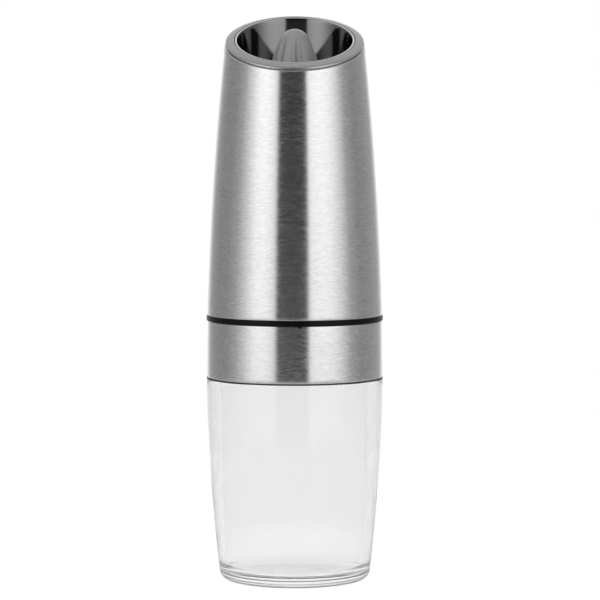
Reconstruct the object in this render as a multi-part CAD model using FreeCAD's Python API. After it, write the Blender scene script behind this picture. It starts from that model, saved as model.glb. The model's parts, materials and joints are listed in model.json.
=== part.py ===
import FreeCAD, Part
import math
import os

# Electric pepper mill that stands on its clear spice cup and grinds when it is turned over.
# Millimetres, +Z up, origin at the centre of the cup's foot. The slanted mouth is low at -Y.
# Heights are measured from the table, radii from the mill's axis.

# Spice cup
cup_foot_r = 23.75
cup_corner_r = 3.5
cup_waist_inset = 1.7
cup_waist_z = 33.6
cup_shoulder_z = 72.9
cup_foot_wall = 2.1
cup_cavity_bulge = 0.3
cup_floor = 4.0
cup_inner_corner_r = 3.4
cup_edge = 0.3
neck_edge = 0.4
foot_recess_r = 21.5
foot_recess_depth = 0.6
gate_mark_r = 1.1
gate_mark_height = 0.35
cup_ledge = 3.4
neck_wall = 1.8
neck_height = 11.5

# Cup thread, right-handed
thread_lead = 4.0
thread_depth = 0.9
thread_root_width = 1.4
thread_crest_width = 0.7
thread_turns = 1.75
thread_clearance = 0.3
thread_start = 1.8

# Outer metal and the black ring
gasket_thickness = 0.45
gasket_inset = 0.05
gasket_play = 0.4
slip_gap = 0.05
band_foot_inset = 0.2
band_waist_inset = 0.27
band_top_inset = 0.44
band_height = 20.3
band_wall = 0.7
seam_ring_stand_out = 0.3
seam_ring_height = 1.85
seam_ring_round = 0.3
index_nib_width = 0.9
index_nib_depth = 0.6
index_nib_angle = -86.5
index_nib_play = 0.1
sleeve_foot_clearance = 0.5
sleeve_waist_clearance = 1.16
sleeve_waist_drop = 6.0
sleeve_crown_rise = 11.95
sleeve_wall = 0.8
sleeve_cut_tilt = 20.1
sleeve_gap = 0.1

# Slanted rim and the mirror liner
mouth_drop = 4.35
rim_height = 1.15
rim_width = 1.96
rim_tilt = 21.6
rim_crest = 0.6
rim_round = 0.5
rim_inner_round = 0.4
rim_inset = 0.2
rim_seam = 0.3
rim_skirt = 5.0
liner_clearance = 0.5
liner_draft = 0.4
liner_overlap = 6.5
liner_wall = 0.8
liner_lip = 0.45

# Chassis
shell_fit = 0.05
socket_ceiling = 2.0
socket_ceiling_gap = 0.8
spigot_room = 1.3
spigot_wall = 1.5
spigot_over = 1.8
tray_rise = 4.5
tray_floor = 1.4
deck = 1.6
tube_wall = 1.4
chute_wall = 1.2
chute_half_angle = 38.0
boss_edge = 3.2
boss_clearance = 0.13
boss_r = 1.45
low_boss_r = 1.65
boss_depth = 8.0
oring_wire_r = 0.75
oring_drop = 0.4
oring_squeeze_gap = 0.1

# Cells, three on each side
cell_r = 5.25
cell_length = 44.5
cell_inner_room = 1.25
cell_outer_room = 0.35
cell_gap = 0.78
cell_end_play = 0.1
cell_nub_r = 1.9
cell_nub_height = 1.0
contact_thickness = 0.3
spring_height = 3.0
spring_wire_r = 0.3
spring_coil_r = 2.6
spring_turns = 3
contact_r = 4.2
lead_past_cell = 14.0
lead_room = 2.3
lead_wire_r = 0.5
lead_bend_r = 1.5
strip_width = 4.0
tag_width = 1.6

# Motor
motor_r = 12.2
motor_room = 8.8
motor_length = 30.0
motor_can_wall = 1.0
motor_bell = 2.4
motor_shaft_r = 1.0
motor_boss_r = 3.0
motor_boss_height = 1.0
bearing_r = 2.4
bearing_length = 2.2
running_gap = 0.03
magnet_thickness = 2.2
air_gap = 0.4
armature_length = 14.0
armature_lift = 7.5
pole_half_angle = 48.0
pole_shoe = 1.3
pole_web = 1.3
winding_length_over = 1.6
commutator_r = 2.6
commutator_length = 2.6
terminal_width = 2.2
terminal_thickness = 0.4
terminal_drop = 2.6
terminal_at = 6.0
damper_height = 7.0

# Two planetary stages
module = 0.5
pressure_angle = 25.0
sun_teeth = 12
planet_teeth = 15
ring_teeth = 42
backlash = 0.1
planets_per_stage = 3
gear_gap = 0.4
plate_thickness = 1.2
stage_1_face = 5.0
stage_2_face = 5.6
carrier_1_thickness = 2.0
carrier_2_thickness = 2.5
planet_pin_r = 1.0
ring_gear_wall = 2.675
gearbox_fit = 0.1
cover_clearance = 1.1
cover_thickness = 3.0
cover_flange_lap = 1.0
cover_flange = 1.2
gearbox_screw_edge = 1.3

# Grinder
shaft_journal_r = 3.0
bush_wall = 2.0
bush_flange = 1.0
bush_length = 5.6
collar_r = 5.2
collar_height = 0.6
hex_flats = 5.0
hex_play = 0.1
hex_drop = 0.2
shaft_tip_r = 2.4
shaft_tip_reach = 13.7
burr_lift = 10.5
coarse_height = 11.0
fine_height = 3.0
rotor_foot_r = 7.0
rotor_finish_foot_r = 12.0
rotor_top_r = 13.2
burr_gap = 0.5
stator_foot_r = 15.2
stator_lift = 1.5
stator_r = 17.0
rotor_bore_r = 4.6
rotor_teeth = 12
rotor_fine_teeth = 36
stator_teeth = 18
tooth_cut = 1.7
fine_tooth_cut = 0.45
stator_tooth_cut = 1.5
cutter_reach = 4.0
rotor_tooth_half = 3.4
fine_tooth_half = 2.2
stator_tooth_half = 3.0
rotor_skew = 18.0
fine_skew = 6.0
hub_flange_r = 6.2
hub_flange = 1.2
burr_spring_coil_r = 4.3
burr_spring_wire_r = 0.4
burr_spring_turns = 5
arcs_per_turn = 4
housing_inset = 0.2
housing_floor = 1.8
housing_wall = 1.3
housing_side = 4.6
housing_neck_wall = 2.15
housing_ledge = 1.0
screw_well_r = 2.4
screw_well_play = 0.35
retainer_thickness = 1.5
retainer_hole_r = 14.4
retainer_wall = 0.75
retainer_skirt = 3.0

# Adjusting knob
knob_clearance = 1.8
knob_height = 24.1
knob_foot_r = 10.4
knob_nose_r = 4.85
knob_nose_drop = 2.9
knob_waist_r = 8.2
knob_waist_drop = 11.7
flute_count = 6
flute_angle = -75.0
flute_cutter_r = 4.1
flute_depth = 0.75
flute_fade = 0.1
insert_r = 4.0
insert_length = 13.0
insert_flange_r = 5.4
insert_flange = 1.0
knob_travel_room = 1.2

# Screws
frame_screw_r = 0.9
frame_screw_length = 9.0
housing_screw_r = 0.75
housing_screw_length = 7.0
gearbox_screw_r = 0.8
gearbox_screw_length = 23.0
motor_screw_r = 1.1
motor_screw_length = 3.2
motor_screw_circle_r = 8.0
screw_head_ratio = 1.8
screw_play = 0.05

# Electronics in the chamber under the cells
board_thickness = 1.2
board_space = 1.4
board_width = 7.6
board_inset = 0.3
board_half_angle = 42.0
capacitor_r = 2.0
capacitor_height = 4.2
capacitor_angle = 26.0
relay_length = 5.0
relay_width = 4.0
relay_height = 3.4
relay_inset = 1.2
relay_end_y = -7.6
chip_length = 3.2
chip_width = 2.4
chip_height = 0.9
chip_inset = 2.8
chip_start_y = 4.0
switch_r = 2.4
switch_wall = 0.5
switch_inset = 4.6
switch_length = 6.4
ball_r = 1.5
ball_seat = 0.02

# Heights and radii that follow from the sizes above
ring_gear_r = module * (ring_teeth / 2.0 + 1.25) + ring_gear_wall
gearbox_screw_circle_r = ring_gear_r - gearbox_screw_edge
tube_bore_r = ring_gear_r + gearbox_fit
tube_r = tube_bore_r + tube_wall
cover_flange_r = tube_bore_r + cover_flange_lap
cell_circle_r = tube_r + cell_inner_room + cell_r
cell_step_angle = 2 * math.degrees(math.asin((cell_r + cell_gap / 2.0) / cell_circle_r))
deck_r = cell_circle_r + cell_r + cell_outer_room
chute_outer_r = deck_r
chute_r = chute_outer_r - chute_wall
boss_circle_r = deck_r - boss_edge
spigot_r = deck_r + spigot_room + spigot_wall
sleeve_foot_r = spigot_r + sleeve_foot_clearance + sleeve_wall
sleeve_waist_r = deck_r + sleeve_waist_clearance + sleeve_wall
seam_ring_r = sleeve_foot_r + seam_ring_stand_out
cup_top_r = seam_ring_r
cup_waist_r = cup_top_r - cup_waist_inset
neck_r = cup_top_r - cup_ledge
band_foot_r = cup_top_r - band_foot_inset
band_waist_r = cup_top_r - band_waist_inset
band_top_r = cup_top_r - band_top_inset
neck_top_z = cup_shoulder_z + neck_height
band_foot_z = cup_shoulder_z + gasket_thickness + slip_gap
band_top_z = band_foot_z + band_height
band_bore_r = band_top_r - band_wall
socket_r = band_bore_r - shell_fit
socket_bore_r = neck_r + thread_depth + thread_clearance
ceiling_under_z = neck_top_z + socket_ceiling_gap
ceiling_top_z = ceiling_under_z + socket_ceiling
seam_ring_z = band_top_z + slip_gap
seam_ring_top_z = seam_ring_z + seam_ring_height
sleeve_foot_z = seam_ring_top_z + sleeve_gap
gear_stack = (plate_thickness + stage_1_face + carrier_1_thickness + stage_2_face + carrier_2_thickness
              + 4 * gear_gap + cover_clearance + cover_thickness)
cell_stack = 2 * contact_thickness + spring_height + cell_length + cell_end_play
deck_top_z = max(ceiling_top_z + motor_room + motor_length + gear_stack,
                 band_top_z + tray_rise + cell_stack + deck)
deck_under_z = deck_top_z - deck
tray_floor_top_z = deck_under_z - cell_stack
tray_under_z = tray_floor_top_z - tray_floor
spigot_top_z = tray_floor_top_z + spigot_over
oring_z = tray_floor_top_z - oring_drop
sleeve_waist_z = deck_top_z - sleeve_waist_drop
motor_top_z = deck_top_z - gear_stack
motor_foot_z = motor_top_z - motor_length
lead_angle = cell_step_angle + lead_past_cell
lead_circle_r = tube_r + lead_room
cell_angles = [-cell_step_angle, 0.0, cell_step_angle,
               180.0 - cell_step_angle, 180.0, 180.0 + cell_step_angle]
boss_to_cell = cell_r + boss_r + boss_clearance
boss_past_cell = math.degrees(math.acos((cell_circle_r ** 2 + boss_circle_r ** 2 - boss_to_cell ** 2)
                                        / (2 * cell_circle_r * boss_circle_r)))
boss_angle = cell_step_angle + boss_past_cell
boss_angles = [boss_angle, 180.0 - boss_angle, 180.0 + boss_angle, 360.0 - boss_angle]
motor_screw_angles = [0.0, 180.0]
planet_angles = [360.0 * k / planets_per_stage for k in range(planets_per_stage)]
stage_letters = "abc"
centre_distance = module * (sun_teeth + planet_teeth) / 2.0
plate_top_z = motor_top_z + plate_thickness
planet_1_z = plate_top_z + gear_gap
carrier_1_z = planet_1_z + stage_1_face + gear_gap
carrier_1_top_z = carrier_1_z + carrier_1_thickness
planet_2_z = carrier_1_top_z + gear_gap
carrier_2_z = planet_2_z + stage_2_face + gear_gap
carrier_2_top_z = carrier_2_z + carrier_2_thickness
cover_z = deck_top_z - cover_thickness
bush_z = cover_z - bush_flange + 0.4
bush_top_z = bush_z + bush_length
collar_z = bush_top_z + 0.3
collar_top_z = collar_z + collar_height
burr_foot_z = deck_top_z + burr_lift
finish_foot_z = burr_foot_z + coarse_height
burr_top_z = finish_foot_z + fine_height
stator_foot_z = burr_foot_z + stator_lift
burr_spring_top_z = burr_foot_z - hub_flange
stator_finish_foot_r = rotor_finish_foot_r + burr_gap
stator_top_r = rotor_top_r + burr_gap
housing_r = deck_r - housing_inset
housing_neck_r = stator_r + shell_fit + housing_neck_wall
retainer_r = housing_neck_r + shell_fit + retainer_wall
retainer_top_z = burr_top_z + retainer_thickness
knob_foot_z = burr_top_z + knob_clearance
knob_tip_z = knob_foot_z + knob_height
shaft_tip_z = knob_foot_z + shaft_tip_reach
liner_foot_r = retainer_r + liner_clearance
liner_top_r = liner_foot_r + liner_draft
liner_foot_z = burr_top_z - liner_overlap
mouth_z = knob_tip_z - mouth_drop
sleeve_cut_z = mouth_z - rim_height
sleeve_crown_z = mouth_z + sleeve_crown_rise
sleeve_crown_r = liner_top_r + liner_wall + rim_width
board_under_z = tray_under_z - board_space - board_thickness
board_in_r = tube_r - board_inset
board_out_r = board_in_r + board_width
switch_circle_r = board_in_r + switch_inset

V = FreeCAD.Vector
ORIGIN = V(0, 0, 0)
UP = V(0, 0, 1)


def at(radius, angle, z=0.0):
    turn = math.radians(angle)
    return V(radius * math.cos(turn), radius * math.sin(turn), z)


def disc(radius, z_low, z_high, centre=ORIGIN):
    return Part.makeCylinder(radius, z_high - z_low, V(centre.x, centre.y, z_low))


def tube(outer, inner, z_low, z_high, centre=ORIGIN):
    return disc(outer, z_low, z_high, centre).cut(disc(inner, z_low, z_high, centre))


def spun(start, *steps):
    """Turns an outline about the axis. A step is (r, z), or ((r, z), (r, z)) for an arc."""
    here = V(start[0], 0, start[1])
    first = here
    edges = []
    for step in steps:
        if isinstance(step[0], tuple):
            middle = V(step[0][0], 0, step[0][1])
            end = V(step[1][0], 0, step[1][1])
            edges.append(Part.Arc(here, middle, end).toShape())
        else:
            end = V(step[0], 0, step[1])
            edges.append(Part.makeLine(here, end))
        here = end
    if here.distanceToPoint(first) > 1e-6:
        edges.append(Part.makeLine(here, first))
    solid = Part.Face(Part.Wire(edges)).revolve(ORIGIN, UP, 360)
    if solid.Volume < 0:
        solid.reverse()
    return solid


def corner_middle(centre, radius, angle):
    """A point on a rounded corner of a turned outline."""
    turn = math.radians(angle)
    return (centre[0] + radius * math.cos(turn), centre[1] + radius * math.sin(turn))


def turned(shape, angle):
    copy = shape.copy()
    copy.rotate(ORIGIN, UP, angle)
    return copy


def around(shape, angles):
    return [turned(shape, angle) for angle in angles]


def moved(shape, offset):
    copy = shape.copy()
    copy.translate(offset)
    return copy


def merged(shapes):
    return shapes[0].multiFuse(shapes[1:]).removeSplitter() if len(shapes) > 1 else shapes[0]


def group(shapes):
    return Part.makeCompound(shapes)


def sector(outer, inner, z_low, z_high, middle, half, margin=0.0):
    """A ring segment under half a turn, its straight sides moved outwards by margin."""
    reach = 2 * outer
    piece = tube(outer, inner, z_low, z_high)
    left_side = Part.makeBox(2 * reach, reach, z_high - z_low, V(-reach, -reach + margin, z_low))
    right_side = Part.makeBox(2 * reach, reach, z_high - z_low, V(-reach, -margin, z_low))
    return piece.common(turned(left_side, middle + half)).common(turned(right_side, middle - half))


def above_slant(z_axis, tilt):
    box = Part.makeBox(200, 200, 100, V(-100, -100, 0))
    box.rotate(ORIGIN, V(1, 0, 0), tilt)
    box.translate(V(0, 0, z_axis))
    return box


def below_slant(z_axis, tilt):
    box = Part.makeBox(200, 200, 300, V(-100, -100, -300))
    box.rotate(ORIGIN, V(1, 0, 0), tilt)
    box.translate(V(0, 0, z_axis))
    return box


def helix_sweep(section, radius, pitch, turns, z_low):
    path = Part.makeHelix(pitch, pitch * turns, radius)
    path.translate(V(0, 0, z_low))
    return Part.Wire(path.Edges).makePipeShell([section], True, True)


def round_section(centre, direction, radius):
    return Part.Wire(Part.makeCircle(radius, centre, direction))


def tangent_arc(start, corner, end):
    """The round bend between two points that lie equally far from the corner of their tangents."""
    back = (start - corner).normalize()
    ahead = (end - corner).normalize()
    half = back.getAngle(ahead) / 2.0
    bend_r = start.distanceToPoint(corner) * math.tan(half)
    middle = corner + (back + ahead).normalize() * (bend_r / math.sin(half) - bend_r)
    return Part.Arc(start, middle, end).toShape()


def helix_arcs(radius, pitch, turns, z_low):
    """A helix as pairs of tangent arcs, four pairs to a turn."""
    rise = pitch / (2 * math.pi)
    step = 360.0 / arcs_per_turn
    arcs = []
    for k in range(turns * arcs_per_turn):
        angles = (k * step, (k + 1) * step)
        points = [at(radius, angle, z_low + rise * math.radians(angle)) for angle in angles]
        tangents = [(at(radius, angle + 90.0) + V(0, 0, rise)).normalize() for angle in angles]
        chord = points[1] - points[0]
        spread = 2 * (1 - tangents[0].dot(tangents[1]))
        along = chord.dot(tangents[0] + tangents[1])
        reach = (math.sqrt(along ** 2 + spread * chord.dot(chord)) - along) / spread
        near = points[0] + tangents[0] * reach
        far = points[1] - tangents[1] * reach
        joint = (near + far) * 0.5
        arcs.append(tangent_arc(points[0], near, joint))
        arcs.append(tangent_arc(joint, far, points[1]))
    return arcs


def coil(coil_r, wire_r, z_low, z_high, turns, centre=ORIGIN):
    """An open round-wire spring between two heights."""
    pitch = (z_high - z_low - 2 * wire_r) / turns
    start = V(coil_r, 0, z_low + wire_r)
    wire = round_section(start, V(0, coil_r, pitch / (2 * math.pi)), wire_r)
    path = Part.Wire(helix_arcs(coil_r, pitch, turns, start.z))
    return moved(path.makePipeShell([wire], True, False), centre)


def lead(points, wire_r, bend_r):
    """An insulated wire along straight runs joined by round bends."""
    path = []
    here = points[0]
    for k in range(1, len(points) - 1):
        corner = points[k]
        back = (points[k - 1] - corner).normalize()
        ahead = (points[k + 1] - corner).normalize()
        reach = bend_r / math.tan(back.getAngle(ahead) / 2.0)
        enter = corner + back * reach
        leave = corner + ahead * reach
        path.append(Part.makeLine(here, enter))
        path.append(tangent_arc(enter, corner, leave))
        here = leave
    path.append(Part.makeLine(here, points[-1]))
    section = round_section(points[0], points[1] - points[0], wire_r)
    return Part.Wire(path).makePipeShell([section], True, True)


def pan_screw(radius, head_z, length, centre):
    """A pan-head screw, its head seated on head_z and its shank below."""
    head_r = radius * screw_head_ratio
    head_height = radius * 1.1
    head = spun((0, 0), (head_r, 0), (head_r, head_height * 0.5),
                ((head_r * 0.8, head_height * 0.86), (0, head_height)))
    shank = spun((0, head_height * 0.2), (radius, head_height * 0.2),
                 (radius, -(length - radius)), (radius * 0.3, -length), (0, -length))
    arm = Part.makeBox(head_r * 1.1, radius * 0.35, head_height,
                       V(-head_r * 0.55, -radius * 0.175, head_height * 0.45))
    body = head.fuse(shank).cut(arm).cut(turned(arm, 90))
    return moved(body, V(centre.x, centre.y, head_z))


def flat_head(radius, head_z, way, margin=0.0):
    """A countersunk head, or its seat when it has a margin."""
    head_r = radius * screw_head_ratio + margin
    depth = head_r - radius
    return spun((0, head_z), (head_r, head_z), (radius, head_z - way * depth), (0, head_z - way * depth))


def flat_screw(radius, head_z, length, centre, way=1):
    """A countersunk screw, flush at head_z; way 1 points its tip down and -1 points it up."""
    shank = spun((0, head_z - way * radius * 0.4), (radius, head_z - way * radius * 0.4),
                 (radius, head_z - way * (length - radius)), (radius * 0.3, head_z - way * length),
                 (0, head_z - way * length))
    cross_depth = radius * 0.5
    arm = Part.makeBox(radius * 2, radius * 0.35, 2 * cross_depth,
                       V(-radius, -radius * 0.175, head_z - cross_depth))
    body = flat_head(radius, head_z, way).fuse(shank).cut(arm).cut(turned(arm, 90))
    return moved(body, V(centre.x, centre.y, 0))


def cup_outer_steps():
    corner_centre = (cup_foot_r, cup_corner_r)
    low = corner_middle(corner_centre, cup_corner_r, -45.0)
    side = corner_middle(corner_centre, cup_corner_r, 6.0)
    return [(low, side), ((cup_waist_r, cup_waist_z), (cup_top_r, cup_shoulder_z - cup_edge))]


def cavity_waist(low, high):
    """The middle of the cavity's side, which widens all the way up so that its core can be drawn."""
    share = (cup_waist_z - low[1]) / (high[1] - low[1])
    return (low[0] + share * (high[0] - low[0]) + cup_cavity_bulge, cup_waist_z)


def spice_cup():
    side_r = cup_foot_r + cup_corner_r
    inner_foot_r = side_r - cup_foot_wall
    fillet_centre = (inner_foot_r - cup_inner_corner_r, cup_floor + cup_inner_corner_r)
    fillet_mid = corner_middle(fillet_centre, cup_inner_corner_r, -45.0)
    cavity_foot = (inner_foot_r, fillet_centre[1])
    cavity_top = (neck_r - neck_wall, neck_top_z)
    body = spun((0, foot_recess_depth),
                (foot_recess_r, foot_recess_depth),
                (foot_recess_r + cup_edge, 0),
                (cup_foot_r, 0),
                *cup_outer_steps(),
                (cup_top_r - cup_edge, cup_shoulder_z),
                (neck_r, cup_shoulder_z),
                (neck_r, neck_top_z - neck_edge),
                (neck_r - neck_edge, neck_top_z),
                cavity_top,
                (cavity_waist(cavity_foot, cavity_top), cavity_foot),
                (fillet_mid, (fillet_centre[0], cup_floor)),
                (0, cup_floor))
    ridge = thread_ridge(neck_r, 1, cup_shoulder_z + thread_start)
    gate = disc(gate_mark_r, foot_recess_depth - gate_mark_height, foot_recess_depth + 0.5)
    return body.fuse(ridge).fuse(gate)


def thread_ridge(wall_r, way, z_low):
    """One thread ridge, standing out of a wall (way 1) or into a bore (way -1)."""
    sunk = wall_r - way * 0.4
    crest = wall_r + way * thread_depth
    half_root = thread_root_width / 2.0
    half_crest = thread_crest_width / 2.0
    z_mid = z_low + half_root
    corners = [V(sunk, 0, z_mid - half_root), V(wall_r, 0, z_mid - half_root),
               V(crest, 0, z_mid - half_crest), V(crest, 0, z_mid + half_crest),
               V(wall_r, 0, z_mid + half_root), V(sunk, 0, z_mid + half_root)]
    section = Part.makePolygon(corners + corners[:1])
    return helix_sweep(section, wall_r, thread_lead, thread_turns, z_mid)


def cup_gasket():
    outer = cup_top_r - gasket_inset
    inner = neck_r + gasket_play
    z_high = cup_shoulder_z + gasket_thickness
    return tube(outer, inner, cup_shoulder_z, z_high)


def chute_window(z_low, z_high, middle):
    return sector(chute_r, tube_r, z_low, z_high, middle, chute_half_angle)


def cup_socket():
    body = tube(socket_r, socket_bore_r, band_foot_z, ceiling_top_z)
    ceiling = disc(socket_r, ceiling_under_z, ceiling_top_z)
    ridge = thread_ridge(socket_bore_r, -1, cup_shoulder_z + thread_start + thread_lead / 2.0)
    body = body.fuse(ceiling).fuse(ridge)
    for middle in (90, -90):
        body = body.cut(chute_window(ceiling_under_z - 1, ceiling_top_z + 1, middle))
    for place in boss_places():
        body = body.cut(disc(frame_screw_r + screw_play, ceiling_under_z - 1, ceiling_top_z + 1, place))
        body = body.cut(moved(flat_head(frame_screw_r, ceiling_under_z, -1, screw_play), place))
    return body


def lower_band():
    outer_mid = (band_waist_r, band_foot_z + band_height / 2.0)
    band = spun((band_bore_r, band_foot_z), (band_foot_r, band_foot_z),
                (outer_mid, (band_top_r, band_top_z)), (band_bore_r, band_top_z))
    width = index_nib_width + 2 * index_nib_play
    notch = Part.makeBox(6, width, index_nib_depth + index_nib_play, V(band_bore_r - 2, -width / 2.0, 0))
    notch.translate(V(0, 0, band_top_z - index_nib_depth - index_nib_play))
    return band.cut(turned(notch, index_nib_angle))


def seam_ring():
    inner = spigot_r + shell_fit
    high = seam_ring_top_z
    low = seam_ring_z
    edge = seam_ring_r
    soft = seam_ring_round
    ring = spun((inner, low), (edge - soft, low),
                (corner_middle((edge - soft, low + soft), soft, -45), (edge, low + soft)),
                (edge, high - soft),
                (corner_middle((edge - soft, high - soft), soft, 45), (edge - soft, high)),
                (inner, high))
    nib_reach = band_top_r - band_bore_r - 2 * index_nib_play
    nib = Part.makeBox(nib_reach, index_nib_width, index_nib_depth + seam_ring_round,
                       V(band_bore_r + index_nib_play, -index_nib_width / 2.0, seam_ring_z - index_nib_depth))
    return ring.fuse(turned(nib, index_nib_angle))


def sleeve_shape(inset):
    """The solid inside the tall sleeve's outer surface, shrunk by inset."""
    return spun((0, sleeve_foot_z), (sleeve_foot_r - inset, sleeve_foot_z),
                ((sleeve_waist_r - inset, sleeve_waist_z), (sleeve_crown_r - inset, sleeve_crown_z)),
                (0, sleeve_crown_z))


def upper_sleeve():
    shell = sleeve_shape(0).cut(sleeve_shape(sleeve_wall))
    return shell.common(below_slant(sleeve_cut_z, sleeve_cut_tilt))


def rim_ring():
    bore_r = liner_top_r + liner_wall + shell_fit
    bore = disc(bore_r, sleeve_foot_z, sleeve_crown_z + 5)
    seat = above_slant(sleeve_cut_z + rim_seam, sleeve_cut_tilt)
    crown = sleeve_shape(rim_inset).common(seat).common(below_slant(mouth_z + rim_crest, rim_tilt))
    crown = crown.makeFillet(rim_round, [slanted_top_edge(crown)])
    crown = crown.cut(bore)
    inner_edge = [edge for edge in crown.Edges if edge_is_inner_top(edge, bore_r)]
    crown = crown.makeFillet(rim_inner_round, inner_edge)
    skirt = sleeve_shape(sleeve_wall + shell_fit)
    skirt = skirt.common(below_slant(sleeve_cut_z + rim_seam, sleeve_cut_tilt))
    skirt = skirt.common(above_slant(sleeve_cut_z - rim_skirt, sleeve_cut_tilt))
    return crown.fuse(skirt).cut(bore).removeSplitter()


def slanted_top_edge(shape):
    """The outer edge of a part's slanted top face."""
    return max(shape.Edges, key=lambda edge: edge.BoundBox.ZMax + edge.BoundBox.ZMin)


def edge_is_inner_top(edge, bore_r):
    """True for the bore's edge in the slanted top face."""
    box = edge.BoundBox
    on_bore = abs(box.YMax - bore_r) < 0.01
    return on_bore and box.ZMax > mouth_z + bore_r * math.tan(math.radians(rim_tilt))


def liner_solid(inset, z_low):
    return spun((0, z_low), (liner_foot_r + inset, z_low),
                (liner_top_r + inset, sleeve_crown_z + 2), (0, sleeve_crown_z + 2))


def outlet_liner():
    shell = liner_solid(liner_wall, liner_foot_z).cut(liner_solid(0, liner_foot_z - 1))
    return shell.common(below_slant(mouth_z + liner_lip, rim_tilt))


def chute(z_low, z_high, middle):
    walls = sector(chute_outer_r, tube_r - 0.3, z_low, z_high, middle, chute_half_angle, chute_wall)
    return walls.cut(chute_window(z_low - 1, z_high + 1, middle))


def core_frame():
    skirt = tube(socket_r, spigot_r - spigot_wall, ceiling_top_z, band_top_z)
    spigot = tube(spigot_r, spigot_r - spigot_wall, band_top_z - 1, spigot_top_z)
    tray = tube(spigot_r - 0.5, tube_bore_r, tray_under_z, tray_floor_top_z)
    central = tube(tube_r, tube_bore_r, tray_under_z, deck_top_z)
    top_deck = tube(deck_r, tube_bore_r, deck_under_z, deck_top_z)
    chutes = [chute(ceiling_top_z, deck_top_z, middle) for middle in (90, -90)]
    inner_walls = [sector(tube_r, tube_bore_r, ceiling_top_z, tray_under_z + 0.5, middle,
                          chute_half_angle, chute_wall) for middle in (90, -90)]
    low_bosses = [disc(low_boss_r, ceiling_top_z, tray_under_z + 0.5, place) for place in boss_places()]
    high_bosses = [disc(boss_r, deck_under_z - boss_depth, deck_under_z + 0.5, place)
                   for place in boss_places()]
    body = merged([skirt, spigot, tray, central, top_deck] + chutes + inner_walls + low_bosses + high_bosses)
    for middle in (90, -90):
        body = body.cut(chute_window(tray_under_z - 1, tray_floor_top_z + 1, middle))
        body = body.cut(chute_window(deck_under_z - 1, deck_top_z + 1, middle))
    for place in boss_places():
        body = body.cut(disc(frame_screw_r, ceiling_top_z - 1, tray_under_z - 1, place))
        body = body.cut(disc(housing_screw_r, deck_under_z - boss_depth + 1, deck_top_z + 1, place))
    groove_r = oring_outer_r() - 2 * oring_wire_r
    groove = tube(spigot_r + 1, groove_r, oring_z - oring_wire_r, oring_z + oring_wire_r)
    body = body.cut(groove)
    for place in lead_places():
        body = body.cut(disc(lead_wire_r + 0.15, tray_under_z - 1, tray_floor_top_z + 1, place))
    for angle in bottom_tab_angles():
        body = body.cut(contact_tab(angle, 0.1, tray_under_z - 1, tray_floor_top_z + 1))
    return body


def boss_places():
    return [at(boss_circle_r, angle) for angle in boss_angles]


def lead_places():
    return [at(lead_circle_r, -lead_angle), at(lead_circle_r, 180 + lead_angle)]


def oring_outer_r():
    """The sleeve's bore at the friction ring, less the squeeze gap."""
    return sleeve_outer_r(oring_z) - sleeve_wall - oring_squeeze_gap


def sleeve_outer_r(z):
    """Radius of the sleeve's outer arc at a height, from the circle through its three points."""
    low = V(sleeve_foot_r, 0, sleeve_foot_z)
    mid = V(sleeve_waist_r, 0, sleeve_waist_z)
    high = V(sleeve_crown_r, 0, sleeve_crown_z)
    circle = Part.Arc(low, mid, high).toShape().Curve
    rise = z - circle.Center.z
    return circle.Center.x + math.sqrt(circle.Radius ** 2 - rise ** 2)


def sleeve_oring():
    return Part.makeTorus(oring_outer_r() - oring_wire_r, oring_wire_r, V(0, 0, oring_z))


def cell_is_upright(index):
    return index % 2 == 0


def cell_low_z(index):
    floor = tray_floor_top_z + contact_thickness
    return floor + spring_height if cell_is_upright(index) else floor


def battery_cells():
    cells = []
    for index, angle in enumerate(cell_angles):
        low = cell_low_z(index)
        body_length = cell_length - cell_nub_height
        nub_low = low + body_length if cell_is_upright(index) else low
        body_low = low if cell_is_upright(index) else low + cell_nub_height
        place = at(cell_circle_r, angle)
        body = disc(cell_r, body_low, body_low + body_length, place)
        body = body.makeFillet(0.4, body.Edges[:1] + body.Edges[2:3])
        nub = disc(cell_nub_r, nub_low, nub_low + cell_nub_height, place)
        cells.append(body.fuse(nub))
    return group(cells)


def battery_springs():
    springs = []
    for index, angle in enumerate(cell_angles):
        low = cell_low_z(index)
        start = low - spring_height if cell_is_upright(index) else low + cell_length
        springs.append(coil(spring_coil_r, spring_wire_r, start, start + spring_height - 0.02,
                            spring_turns, at(cell_circle_r, angle)))
    return group(springs)


def contact_pad(angle, z_low):
    return disc(contact_r, z_low, z_low + contact_thickness, at(cell_circle_r, angle))


def contact_strip(a, b, width, z_low):
    span = b - a
    strip = Part.makeBox(span.Length, width, contact_thickness, V(0, -width / 2.0, z_low))
    strip.rotate(ORIGIN, UP, math.degrees(math.atan2(span.y, span.x)))
    return moved(strip, V(a.x, a.y, 0))


def contact_link(angle_a, angle_b, z_low):
    """A sheet-metal strip under or over two neighbouring cells."""
    strip = contact_strip(at(cell_circle_r, angle_a), at(cell_circle_r, angle_b), strip_width, z_low)
    return merged([contact_pad(angle_a, z_low), contact_pad(angle_b, z_low), strip])


def contact_tag(angle, lead_place, z_low):
    """A contact with a narrow tag out to its soldered lead."""
    tag = contact_strip(at(cell_circle_r, angle), lead_place, tag_width, z_low)
    return merged([contact_pad(angle, z_low), tag, disc(tag_width / 2.0, z_low, z_low + contact_thickness,
                                                       lead_place)])


def contact_tab(angle, play, z_low, z_high):
    tab = Part.makeBox(contact_thickness + 2 * play, 2.4 + 2 * play, z_high - z_low,
                       V(cell_circle_r - contact_r - play, -1.2 - play, z_low))
    return turned(tab, angle)


def bottom_tab_angles():
    return [cell_angles[2], cell_angles[3]]


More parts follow.
